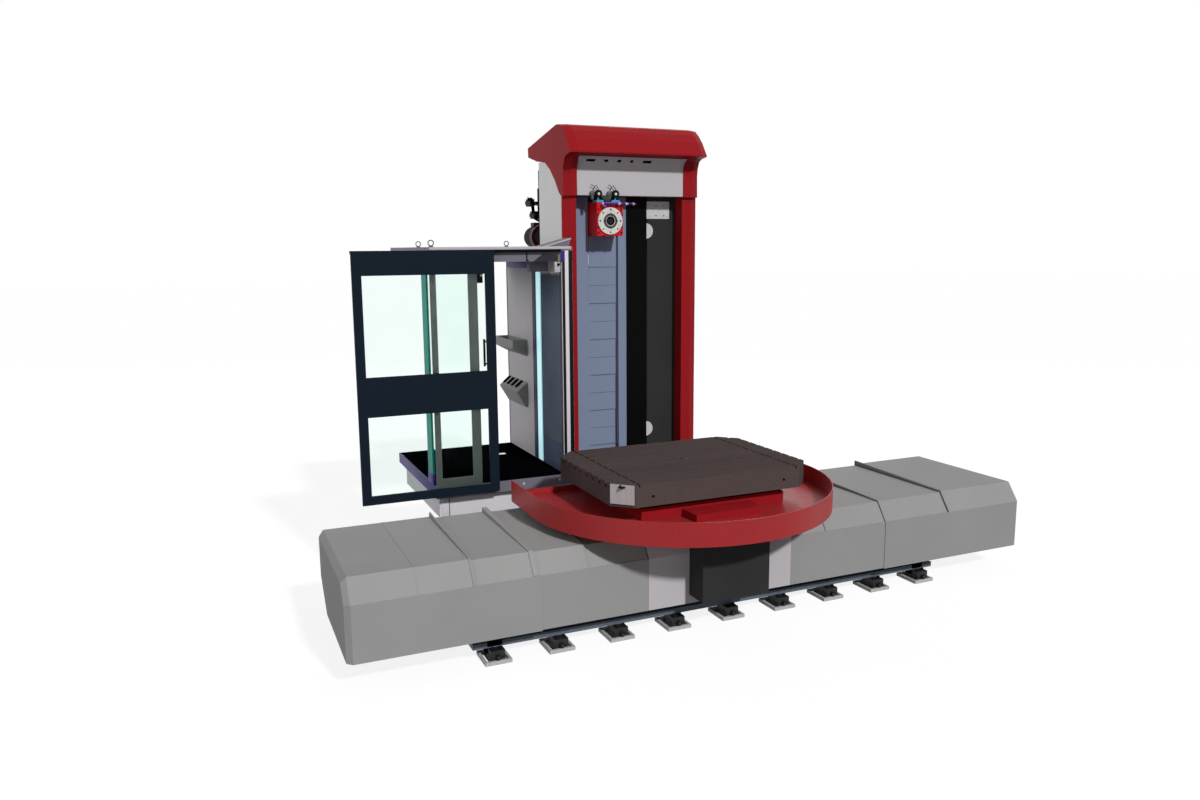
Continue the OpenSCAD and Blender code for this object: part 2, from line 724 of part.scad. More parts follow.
module nose_apron() color("lightsteelblue") place() along_x(ycov_l, ycov_r) polygon([
    [apron_f, ycov_z], [apron_b, ycov_z], [apron_b, recess_z], [recess_b, recess_z], [recess_b, nose_z0],
    [recess_f, nose_z0], [recess_f, recess_z + ycov_wall], [apron_f, recess_z + ycov_wall]]);
module milling_sleeve() color("white") place() difference() {
    union() {
        rod_y(nose_x, spindle_z, ring_y0, ring_y1, sleeve_r);
        rod_y(nose_x, spindle_z, ring_y1, shaft_y1, shaft_r);
    }
    rod_y(nose_x, spindle_z, ring_y0 - cut, shaft_y1 + cut, quill_r + fit_gap);
    for (a = [0:ring_turn:359])
        rod_y(nose_x + ring_bolt * cos(a), spindle_z + ring_bolt * sin(a),
              ring_y0 - cut, ring_y0 + ring_deep, screw_head);
}
ring_bolt = 118;
ring_turn = 45;
ring_deep = 8;
rod_hole = 12;
taper_r = 54;
taper_lead = 10;
taper_l = 165;
taper_in = taper_r - (taper_l - taper_lead) * 7 / 48;
module boring_spindle() color("silver") place() difference() {
    rod_y(nose_x, spindle_z, quill_y0, quill_y1, quill_r);
    translate([nose_x, quill_y0, spindle_z]) rotate([-90, 0, 0]) rotate_extrude($fn = 96)
        polygon([[0, -cut], [taper_r, -cut], [taper_r, taper_lead], [taper_in, taper_l], [rod_hole, taper_l],
                 [rod_hole, quill_y1], [0, quill_y1]]);
}
hose_x0 = -230;
hose_x1 = 143;
hose_z = 3757;
hose_y = 1622;
hose_r = 12;
hose_n = 14;
hose_in = 8;
hose_pin = 20;
hose_tip = 40;
module coolant_hose() color("#3344aa") place() {
    pitch = (hose_x1 - hose_x0 - hose_pin - hose_tip) / hose_n;
    rod_z(hose_x0, hose_y, hose_z - hose_pin - leg_gap, hose_z + hose_pin, hose_r + 3);
    for (i = [0:hose_n - 1]) {
        x = hose_x0 + hose_pin + i * pitch;
        rod_x(hose_y, hose_z, x, x + 0.7 * pitch, hose_r);
        rod_x(hose_y, hose_z, x - leg_gap, x + pitch + 1, hose_in);
    }
    translate([hose_x1 - hose_tip, hose_y, hose_z]) rotate([0, 90, 0]) rotate_extrude()
        polygon([[0, 0], [hose_r, 0], [hose_r, hose_r], [cut, hose_tip], [0, hose_tip]]);
}
block_h = 22;
block_d = 110;
eye_r = 36;
eye_z = 3858;
blocks = [[-321 + 20, -218, -275], [-128, -33, -79]];
block_y = nose_y + leg_gap;
eye_y = nose_y + ring_deep;
eye_l = 26;
arm_w = 18;
module coolant_blocks() color("deepskyblue") place() {
    for (b = blocks) {
        span([b[0], block_y, nose_z1], [b[1], nose_y + block_d, nose_z1 + block_h]);
        rod_z(b[2], eye_y + eye_l / 2, nose_z1 + block_h, eye_z - eye_r + cut, screw_head);
        rod_y(b[2], eye_z, eye_y, eye_y + eye_l, eye_r);
    }
    span([hose_x0 - arm_w, hose_y - arm_w, hose_arm - cut], [hose_x0 + arm_w, nose_y, hose_arm]);
}
hose_arm = hose_z - hose_pin - leg_gap - 1;
cap_l = 20;
module spindle_motor() color("#333333") place() {
    rod_y(motor_x, motor_z, motor_y0, plate_y0, motor_r);
    rod_y(motor_x, motor_z, plate_y0, motor_y1, motor_r - motor_step);
    rod_y(motor_x, motor_z, motor_y1, motor_y1 + cap_l, motor_r - 4 * motor_step);
}
clamp_w = 62;
clamp_d = 120;
clamp_h = 84;
clamp_r = 26;
clamp_rod = 9;
rod_x0 = -482;
module clamp_unit() color("#222222") place() {
    for (c = clamps) {
        span([c[0], plate_y0 - clamp_d, c[1]], [c[0] + clamp_w, plate_y0, c[1] + clamp_h]);
        rod_y(c[0] + clamp_w / 2, c[1] + clamp_h / 2,
              plate_y0 - clamp_d - cut * cut, plate_y0 - clamp_d, clamp_r);
        rod_x(plate_y0 - clamp_d / 2, c[1] + clamp_h / 2, c[0] + clamp_w, rod_x0, clamp_rod);
    }
    rod_z(rod_x0, plate_y0 - clamp_d / 2, clamps[1][1], clamp_z1 + clamp_h, clamp_rod);
}

// ---- operator cabin ----
deck_lo = 880;
deck_up = deck_z - mat_t;
cab_sill = 8;
roof_lo = 3174;
roof_up = 3320;
module platform() color("#8d8aa0") place() difference() {
    span([cab_l, cab_y0, deck_lo], [cab_r, cab_y1, deck_up]);
    span([cab_l + cab_sill, cab_y0 + cab_sill, deck_lo - cut],
         [cab_r - cab_sill, cab_y1 - cab_sill, deck_up - cab_sill]);
}
wing_t = 20;
module floor_mat() color("#161616") place()
    span([cab_l + wing_t, cab_y0 + wing_t, deck_up], [cab_in, cab_y1 - wing_t, deck_z]);
beam_x0 = -2148;
beam_y0 = 1380;
beam_y1 = 2895;
beam_z0 = 666;
beam_w = 100;
beam_x1 = -900;
module platform_beam() color("lightgray") place() difference() {
    union() {
        for (y = [beam_y0, beam_y1 - beam_w]) span([beam_x0, y, beam_z0], [beam_x1, y + beam_w, deck_lo]);
        for (x = [beam_x0, beam_x1 - beam_w]) span([x, beam_y0, beam_z0], [x + beam_w, beam_y1, deck_lo]);
        for (y = [arm_y0, arm_y1 - beam_w])
            span([beam_x1 - beam_w, y, arm_z0], [side_l + hood_wall + e, y + beam_w, deck_lo]);
    }
    for (y = [beam_y0, beam_y1 - beam_w])
        span([beam_x0 + 2 * cut, y + 2 * cut, beam_z0 + 2 * cut],
             [beam_x1 - 2 * cut, y + beam_w - 2 * cut, deck_lo - 2 * cut]);
}
arm_y0 = 1950;
arm_y1 = 2280;
arm_z0 = 760;
module cabin_wall() color("gainsboro") place() difference() {
    span([cab_in, cab_y0, deck_up], [cab_r, cab_y1, roof_lo]);
    span([cab_in - cut, glass_y0, glass_z0], [cab_r + cut, glass_y1, glass_z1]);
    for (y = [[cab_y0, glass_y0], [glass_y1, cab_y1]])
        span([cab_in, y[0], deck_up] + 2 * cut * [1, 1, 1], [cab_r, y[1], roof_lo] - 2 * cut * [1, 1, 1]);
}
bridge_y0 = 1480;
bridge_y1 = 1700;
module cabin_roof() color("gainsboro") place() {
    difference() {
        span([cab_l, cab_y0, roof_lo], [cab_r, cab_y1, roof_up]);
        span([cab_l + cab_sill, cab_y0 + cab_sill, roof_lo - cut],
             [cab_r - cab_sill, cab_y1 - cab_sill, roof_up - slab_t]);
    }
    translate([0, bridge_y1, 0]) rotate([90, 0, 0]) linear_extrude(bridge_y1 - bridge_y0)
        polygon([[bridge_x0, roof_up - cut], [cab_r - cab_sill, roof_up - 2 * cut],
                 [bridge_x1, bridge_z0], [bridge_x2, bridge_z1], [bridge_x0, roof_up + cut / 2]]);
}
slab_t = 30;
bridge_x0 = -978;
bridge_x1 = -686;
bridge_x2 = -668;
bridge_z0 = 3329;
bridge_z1 = 3404;
track_x1 = -860;
track_y0 = 1268;
groove_h = 12.8;
groove_z = 3276;
track_z0 = 3262;
track_z1 = 3290;
roller_r = 6;
roller_x = [-2700, -1800];
module door_track() color("#202020") place() difference() {
    span([door_x, track_y0, track_z0], [track_x1, cab_y0, track_z1]);
    span([door_x + 2 * cut, track_y0 - cut, groove_z - groove_h / 2],
         [track_x1 - 2 * cut, track_y0 + 4 * cut, groove_z + groove_h / 2]);
}
wing_z0 = 1075;
pane_in = 50;
leaf_in = 12;
module cabin_panes() color("lightcyan", 0.4) place() {
    span([cab_in + pane_in, glass_y0, glass_z0], [cab_in + pane_in + pane_t, glass_y1, glass_z1]);
    span([wing_l + wing_post, cab_y0 + leaf_in, wing_z0],
         [wing_r - wing_post_r, cab_y0 + leaf_in + pane_t, roof_lo]);
}
module front_frame() color("#777780") place() {
    span([wing_l, cab_y0, deck_up], [wing_l + wing_post, cab_y0 + wing_t, roof_lo]);
    span([wing_r - wing_post_r, cab_y0, deck_up], [wing_r, cab_y0 + wing_t, roof_lo]);
    span([wing_l + wing_post, cab_y0, deck_up], [wing_r - wing_post_r, cab_y0 + wing_t, wing_z0]);
}
module door_frame() color("#1c2433") place() {
    difference() {
        span([door_x, door_y0, door_z], [door_x + door_w, door_y0 + door_t, door_z + door_h]);
        for (w = [[win_lo_z, win_lo], [win_hi_z, win_hi]])
            span([door_x + stile_l, door_y0 - cut, w[0]],
                 [door_x + door_w - stile_r, door_y0 + door_t + cut, w[0] + w[1]]);
    }
    for (x = roller_x) rod_y(x, groove_z, door_y0 + door_t, track_y0 + 3 * cut, roller_r);
}
module door_panes() color("lightcyan", 0.4) place() for (w = [[win_lo_z, win_lo], [win_hi_z, win_hi]])
    span([door_x + stile_l, door_y0 + leaf_in, w[0]],
         [door_x + door_w - stile_r, door_y0 + leaf_in + pane_t, w[0] + w[1]]);
grip_x = -1672;
grip_y = 1284;
grip_z0 = 2166;
grip_z1 = 2432;
grip_r = 11;
grip_reach = 44;
grip_in = 24;
stay_r = 8;
module door_handle() color("#151515") place() {
    rod_z(grip_x, grip_y, grip_z0, grip_z1, grip_r);
    for (z = [grip_z0 + grip_in, grip_z1 - grip_in]) {
        rod_x(grip_y, z, grip_x, grip_x + grip_reach, stay_r);
        rod_y(grip_x + grip_reach, z, door_y0 + door_t, grip_y + stay_r, stay_r + leg_gap);
    }
}
teal_y0 = 1445;
teal_y1 = 1634;
module corner_post() color("#1e7369") place()
    span([cab_l, teal_y0, deck_up], [cab_l + wing_t, teal_y1, roof_lo]);
module light_bar() color("white") place()
    span([cab_in - leaf_in, led_y0, led_z0], [cab_in, led_y1, led_z1]);
led_z0 = 1010;
led_z1 = 3052;
shelf_x = -1015;
rack_x = -970;
rack_y0 = 2395;
rack_y1 = 3040;
rack_top = 1813;
rack_z = 1709;
rack_low = 1525;
rack_in = 20;
shelf_y0 = 2385;
shelf_y1 = 3045;
shelf_top = 2292;
shelf_edge = 2195;
shelf_low = 2105;
module wall_holders() color("gainsboro") place() {
    translate([0, rack_y1, 0]) rotate([90, 0, 0]) linear_extrude(rack_y1 - rack_y0)
        polygon([[cab_in, rack_low], [cab_in, rack_top], [rack_x, rack_z], [rack_x, rack_z - 2 * cut],
                 [cab_in - rack_in, rack_low]]);
    difference() {
        translate([0, shelf_y1, 0]) rotate([90, 0, 0]) linear_extrude(shelf_y1 - shelf_y0)
            polygon([[cab_in, shelf_low], [cab_in, shelf_top], [shelf_x, shelf_top], [shelf_x, shelf_edge]]);
        span([shelf_x + 2 * cut, shelf_y0 + 2 * cut, shelf_edge + 4 * cut],
             [cab_in - 2 * cut, shelf_y1 - 2 * cut, shelf_top + cut]);
    }
}
ring_r = 31;
ring_w = 5;
ring_z = 38;
foot_r = 22;
eye_spots = [[-2152, 1330], [-1913, 2900], [-894, 2900]];
module eye_bolts() color("silver") place() for (p = eye_spots) translate([p[0], p[1], roof_up]) {
    cylinder(r = foot_r, h = 2 * cut);
    translate([0, 0, ring_z]) rotate([90, 0, 0]) rotate_extrude($fn = 48)
        translate([ring_r - ring_w, 0]) circle(r = ring_w, $fn = 20);
}

bed_x();
bed_rear();
bed_ways();
bed_screws();
foot_trays();
foot_jacks();
cover_ends();
cover_left_1();
cover_left_2();
cover_right_1();
cover_right_2();
cover_inner();
saddle();
saddle_apron();
chip_tray();
drive_housing();
table_base();
table();
table_gear();
table_worm();
column();
column_frame();
hood();
hood_panel();
side_panels();
way_strips();
recess_panel();
column_fittings();
column_rails();
way_cover_1();
way_cover_2();
way_cover_3();
way_cover_4();
way_cover_5();
headstock();
nose_box();
nose_apron();
milling_sleeve();
boring_spindle();
coolant_hose();
coolant_blocks();
spindle_motor();
clamp_unit();
platform();
floor_mat();
platform_beam();
cabin_wall();
cabin_roof();
door_track();
cabin_panes();
front_frame();
door_frame();
door_panes();
door_handle();
corner_post();
light_bar();
wall_holders();
eye_bolts();
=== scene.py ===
"""Looks of the horizontal boring mill: finishes for every CAD node and the small trim around them.

The shared frame is in metres: X along the table bed, Y away from the operator, Z up, origin on the
floor in the middle of the outline. The trim is modelled in millimetres from the middle of the table
bed, as the part's source is, and Shape.emit brings each piece into the shared frame.
"""

import json
import logging
import math
from collections.abc import Sequence
from dataclasses import dataclass
from enum import Enum
from typing import ClassVar

import bmesh
import bpy
from mathutils import Matrix, Vector

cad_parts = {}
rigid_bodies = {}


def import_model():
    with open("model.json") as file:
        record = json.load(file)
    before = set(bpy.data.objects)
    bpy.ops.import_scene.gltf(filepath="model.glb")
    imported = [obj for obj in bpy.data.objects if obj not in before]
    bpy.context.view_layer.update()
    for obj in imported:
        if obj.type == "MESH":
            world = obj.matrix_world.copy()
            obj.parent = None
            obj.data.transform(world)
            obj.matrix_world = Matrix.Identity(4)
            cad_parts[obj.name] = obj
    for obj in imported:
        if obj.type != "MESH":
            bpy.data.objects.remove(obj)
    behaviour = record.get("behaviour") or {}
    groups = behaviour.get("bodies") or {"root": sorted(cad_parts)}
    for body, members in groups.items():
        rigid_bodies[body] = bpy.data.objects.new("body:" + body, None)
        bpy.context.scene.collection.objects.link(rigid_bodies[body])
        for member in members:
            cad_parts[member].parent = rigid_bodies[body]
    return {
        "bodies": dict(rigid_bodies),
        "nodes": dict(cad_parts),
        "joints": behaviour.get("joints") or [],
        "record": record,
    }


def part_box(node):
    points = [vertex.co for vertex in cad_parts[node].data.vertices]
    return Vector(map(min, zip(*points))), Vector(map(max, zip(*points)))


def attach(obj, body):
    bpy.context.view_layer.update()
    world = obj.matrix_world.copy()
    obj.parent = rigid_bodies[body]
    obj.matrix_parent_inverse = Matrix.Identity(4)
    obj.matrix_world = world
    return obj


logging.basicConfig(level=logging.INFO, format="%(name)s: %(message)s")
LOG = logging.getLogger("mill")

MM = 1000.0  # millimetres in a metre
SHIFT_Y = -1.4735  # Y of the middle of the table bed in the shared frame, in metres
TO_FRAME = Matrix.Translation((0, SHIFT_Y, 0)) @ Matrix.Scale(1 / MM, 4)
SADDLE_X = -150  # middle of the rotary table along the bed
TABLE_Y = 80  # middle of the rotary table behind the bed's centre line
NOSE_X = -150  # axis of the spindle
NOSE_Z = 3580
MERGE = 1e-6  # vertices closer than this are one, in metres
SHARP = 32  # edges steeper than this stay sharp, in degrees

Point = Sequence[float]
Span = tuple[float, float]
Trio = tuple[float, float, float]
Tree = bpy.types.NodeTree
Node = bpy.types.Node


def from_frame(point: Vector) -> Vector:
    """Turn a point of the shared frame into millimetres from the middle of the table bed."""
    return TO_FRAME.inverted() @ point


def circle(x: float, z: float, radius: float, count: int) -> list[Span]:
    """Spread places evenly on an upright circle that faces the operator.

    Args:
        x: middle of the circle along the bed.
        z: height of its middle.
        radius: radius of the circle.
        count: number of places.

    Returns:
        X and Z of each place, the first at the right.
    """
    turns = [math.tau * i / count for i in range(count)]
    return [(x + radius * math.cos(a), z + radius * math.sin(a)) for a in turns]


class Grain(Enum):
    """Kinds of surface detail a finish can carry."""

    PAINT = "paint"
    TEXTURED = "textured"
    CAST = "cast"
    GROUND = "ground"
    MACHINED = "machined"
    RUBBER = "rubber"
    GLASS = "glass"
    LAMP = "lamp"


@dataclass(frozen=True)
class Finish:
    """One procedural finish.

    Attributes:
        name: name of the finish, which a material slot of the record may share.
        color: linear base colour.
        rough: roughness of the surface.
        metal: metallic value.
        grain: kind of surface detail.
        scale: size of the detail, in repeats per metre.
        vary: how far the colour wanders, as a share of the colour.
        relief: bump strength.
        spec: specular level, lower on dull black surfaces.
    """

    name: str
    color: Trio
    rough: float = 0.4
    metal: float = 0.0
    grain: Grain = Grain.PAINT
    scale: float = 40.0
    vary: float = 0.12
    relief: float = 0.04
    spec: float = 0.5

    LAY: ClassVar[dict[Grain, Trio]] = {  # draws the detail out
        Grain.GROUND: (1.0, 1.0, 0.08), Grain.MACHINED: (0.12, 1.0, 0.5)}
    FINE_DETAIL: ClassVar[float] = 4.0  # octaves of the fine noise
    BROAD_DETAIL: ClassVar[float] = 3.0  # octaves of the slow drift of the colour
    BROAD_SCALE: ClassVar[float] = 1.7  # repeats of that drift per metre
    BROAD_SHARE: ClassVar[float] = 0.3  # its part in the colour's wander
    RAMP: ClassVar[Span] = (0.32, 0.68)  # noise levels of the darkest and lightest colour
    ROUGH_SWING: ClassVar[float] = 0.07  # how far the roughness wanders
    ROUGH_FROM: ClassVar[Span] = (0.3, 0.7)  # noise levels of the lowest and highest roughness
    BUMP_DEPTH: ClassVar[float] = 0.002  # metres
    GLASS_IOR: ClassVar[float] = 1.05  # low, because a pane is thin
    GLASS_SOLID: ClassVar[float] = 0.3  # opacity of a pane in a plain viewport
    LAMP_POWER: ClassVar[float] = 0.55  # emission of a lamp cover

    def material(self) -> bpy.types.Material:
        """Build the material the first time it is asked for.

        Returns:
            The finished material.
        """
        label = f"finish_{self.name}"
        found = bpy.data.materials.get(label)
        if found is not None:
            return found
        mat = bpy.data.materials.new(label)
        mat.use_nodes = True
        tree = mat.node_tree
        shader = tree.nodes["Principled BSDF"]
        shader.inputs["Roughness"].default_value = self.rough
        shader.inputs["Metallic"].default_value = self.metal
        shader.inputs["Specular IOR Level"].default_value = self.spec
        mat.diffuse_color = (*self.color, 1.0)
        fine = self._noise(tree, self.scale, self.FINE_DETAIL)
        broad = self._noise(tree, self.BROAD_SCALE, self.BROAD_DETAIL)
        self._tint(tree, shader, fine, broad)
        if self.grain is not Grain.GLASS:
            self._roughen(tree, shader, fine)
        if self.relief > 0:
            self._bump(tree, shader, fine)
        if self.grain is Grain.GLASS:
            shader.inputs["Transmission Weight"].default_value = 1.0
            shader.inputs["IOR"].default_value = self.GLASS_IOR
            mat.diffuse_color = (*self.color, self.GLASS_SOLID)
        if self.grain is Grain.LAMP:
            shader.inputs["Emission Color"].default_value = (*self.color, 1.0)
            shader.inputs["Emission Strength"].default_value = self.LAMP_POWER
        return mat

    def _noise(self, tree: Tree, scale: float, detail: float) -> Node:
        """Add a noise texture in object space, drawn out on surfaces with a lay.

        Args:
            tree: node tree to add to.
            scale: repeats per metre.
            detail: octaves of the noise.

        Returns:
            The noise node.
        """
        place = tree.nodes.new("ShaderNodeTexCoord")
        shift = tree.nodes.new("ShaderNodeMapping")
        if self.grain in self.LAY:
            shift.inputs["Scale"].default_value = self.LAY[self.grain]
        noise = tree.nodes.new("ShaderNodeTexNoise")
        noise.inputs["Scale"].default_value = scale
        noise.inputs["Detail"].default_value = detail
        tree.links.new(place.outputs["Object"], shift.inputs["Vector"])
        tree.links.new(shift.outputs["Vector"], noise.inputs["Vector"])
        return noise

    def _tint(self, tree: Tree, shader: Node, fine: Node, broad: Node) -> None:
        """Let the colour wander with the fine and the broad noise.

        Args:
            tree: node tree to add to.
            shader: surface shader that gets the colour.
            fine: noise of the surface detail.
            broad: noise of the slow drift.
        """
        ramp = tree.nodes.new("ShaderNodeValToRGB")
        shades = (1.0 - self.vary, 1.0 + self.vary)
        for stop, spot, shade in zip(ramp.color_ramp.elements, self.RAMP, shades):
            stop.position = spot
            stop.color = (*[min(c * shade, 1.0) for c in self.color], 1.0)
        blend = tree.nodes.new("ShaderNodeMath")
        blend.operation = "MULTIPLY_ADD"
        blend.inputs[1].default_value = self.BROAD_SHARE
        part = tree.nodes.new("ShaderNodeMath")
        part.operation = "MULTIPLY"
        part.inputs[1].default_value = 1.0 - self.BROAD_SHARE
        tree.links.new(fine.outputs["Fac"], part.inputs[0])
        tree.links.new(broad.outputs["Fac"], blend.inputs[0])
        tree.links.new(part.outputs[0], blend.inputs[2])
        tree.links.new(blend.outputs[0], ramp.inputs["Fac"])
        tree.links.new(ramp.outputs["Color"], shader.inputs["Base Color"])

    def _roughen(self, tree: Tree, shader: Node, fine: Node) -> None:
        """Vary the roughness around its middle value.

        Args:
            tree: node tree to add to.
            shader: surface shader that gets the roughness.
            fine: noise of the surface detail.
        """
        span = tree.nodes.new("ShaderNodeMapRange")
        span.inputs["From Min"].default_value = self.ROUGH_FROM[0]
        span.inputs["From Max"].default_value = self.ROUGH_FROM[1]
        span.inputs["To Min"].default_value = max(self.rough - self.ROUGH_SWING, 0.02)
        span.inputs["To Max"].default_value = min(self.rough + self.ROUGH_SWING, 1.0)
        tree.links.new(fine.outputs["Fac"], span.inputs["Value"])
        tree.links.new(span.outputs["Result"], shader.inputs["Roughness"])

    def _bump(self, tree: Tree, shader: Node, fine: Node) -> None:
        """Raise the surface a little with the fine noise.

        Args:
            tree: node tree to add to.
            shader: surface shader that gets the normal.
            fine: noise of the surface detail.
        """
        bump = tree.nodes.new("ShaderNodeBump")
        bump.inputs["Strength"].default_value = self.relief
        bump.inputs["Distance"].default_value = self.BUMP_DEPTH
        tree.links.new(fine.outputs["Fac"], bump.inputs["Height"])
        tree.links.new(bump.outputs["Normal"], shader.inputs["Normal"])


FINISHES: dict[str, Finish] = {finish.name: finish for finish in (
    Finish("bed_paint", (.118, .143, .180), .5, scale=60, spec=.15),
    Finish("ground_steel", (.50, .51, .53), .26, .95, Grain.GROUND, 90, .1, .05),
    Finish("zinc_tray", (.50, .50, .50), .5, scale=50, vary=.1, spec=.3),
    Finish("jack_black", (.012, .012, .012), .55, 0, Grain.CAST, 90, .3, .3, spec=.3),
    Finish("cover_grey", (.318, .318, .316), .6, 0, Grain.TEXTURED, 900, .09, .2, spec=.06),
    Finish("cast_grey", (.17, .18, .19), .6, 0, Grain.CAST, 80, .2, .3, spec=.3),
    Finish("panel_light", (.530, .505, .530), .5, 0, Grain.TEXTURED, 700, .06, .12, spec=.1),
    # painted light: the column's side panels get a whiter grey than the lit panels, so that facing
    # away from the sun they look as bright
    Finish("panel_white", (.820, .820, .820), .5, 0, Grain.TEXTURED, 700, .05, .1, spec=.1),
    Finish("frame_shade", (.100, .104, .102), .5, 0, Grain.TEXTURED, 500, .08, .08, spec=.2),
    Finish("charcoal", (.031, .031, .031), .65, 0, Grain.CAST, 120, .22, .25, spec=.06),
    Finish("red_paint", (.305, .012, .016), .42, scale=60, vary=.1, relief=.03, spec=.04),
    Finish("table_iron", (.088, .068, .066), .6, 0, Grain.MACHINED, 420, .28, .3, spec=0),
    Finish("gear_bronze", (.48, .30, .12), .35, .9, Grain.GROUND, 60, .15, .05),
    Finish("blue_grey", (.215, .262, .375), .5, scale=500, vary=.06, relief=.06, spec=.12),
    Finish("gloss_black", (.0035, .0037, .0037), .4, scale=40, vary=.2, relief=.02, spec=.02),
    Finish("steel_plate", (.58, .58, .58), .4, 0, Grain.GROUND, 60, .08, spec=.15),
    Finish("bright_red", (.62, .012, .016), .4, scale=80, vary=.08, spec=.12),
    Finish("sleeve_white", (.70, .71, .66), .4, 0, Grain.GROUND, 80, .22, .04, spec=.2),
    Finish("hose_blue", (.045, .012, .36), .4, scale=200, spec=.3),
    Finish("block_blue", (.06, .32, .48), .4, scale=120, vary=.1, spec=.3),
    Finish("motor_dark", (.045, .045, .043), .5, 0, Grain.CAST, 120, .2, .2, spec=.15),
    Finish("black_parts", (.008, .008, .008), .5, scale=100, vary=.2, spec=.06),
    Finish("fascia_grey", (.175, .162, .195), .5, scale=200, vary=.08, spec=.12),
    Finish("rubber_black", (.0016, .0018, .0026), .8, 0, Grain.RUBBER, 300, .3, .3, spec=0),
    Finish("frame_light", (.70, .67, .72), .5, scale=200, vary=.06, spec=.12),
    Finish("pane_glass", (.90, .985, .955), .0, 0, Grain.GLASS, 6, .01, 0),
    Finish("navy_paint", (.0088, .0150, .0245), .45, scale=200, vary=.15, spec=.03),
    Finish("teal_paint", (.001, .215, .170), .45, scale=100, vary=.1, spec=.1),
    Finish("light_strip", (.50, .86, .93), .3, 0, Grain.LAMP, 30, .04, 0),
    Finish("indigo_trim", (.050, .026, .190), .45, scale=100, vary=.1, spec=.1),
    Finish("white_trim", (.62, .62, .61), .4, scale=100, vary=.05, spec=.3),
    Finish("lens_black", (.0022, .0022, .0026), .6, scale=30, vary=.2, relief=0, spec=0),
    Finish("warn_orange", (.52, .26, .08), .4, scale=100, vary=.08),
    Finish("warn_pink", (.72, .22, .26), .4, scale=100, vary=.08),
    Finish("warn_yellow", (.30, .26, .03), .4, scale=100, vary=.08),
    Finish("bolt_black", (.008, .008, .008), .5, 0, Grain.GROUND, 100, .2, .05, spec=.06),
    Finish("slate_trim", (.060, .062, .105), .5, scale=60, vary=.1, spec=.05),
    # tint of the window glass together with painted shade of the column side seen through it
    Finish("pane_tint_and_shade", (.130, .160, .212), .7, 0, Grain.TEXTURED, 260, .3, .04, spec=0),
    Finish("slate_dark", (.090, .110, .170), .7, 0, Grain.TEXTURED, 260, .3, .04, spec=0),
    Finish("olive_dark", (.040, .040, .028), .4, .3, Grain.GROUND, 90, .2, .05),
    Finish("tray_red", (.350, .022, .025), .42, scale=60, vary=.1, relief=.03, spec=.22),
    Finish("plate_dull", (.46, .435, .445), .45, 0, Grain.GROUND, 40, .08, .03, spec=.1),
    Finish("liner_grey", (.205, .190, .235), .5, scale=100, vary=.1, spec=.1),
    Finish("shade_grey", (.036, .034, .040), .6, scale=100, vary=.15, spec=.05),
    Finish("burgundy", (.10, .008, .016), .45, scale=80, vary=.1, spec=.2),
)}

RECORD_SLOTS: set[str] = set()  # material slots of the record, filled in by main
NODE_FINISH: dict[str, str] = {"chip_tray": "tray_red"}  # nodes that look other than their slot


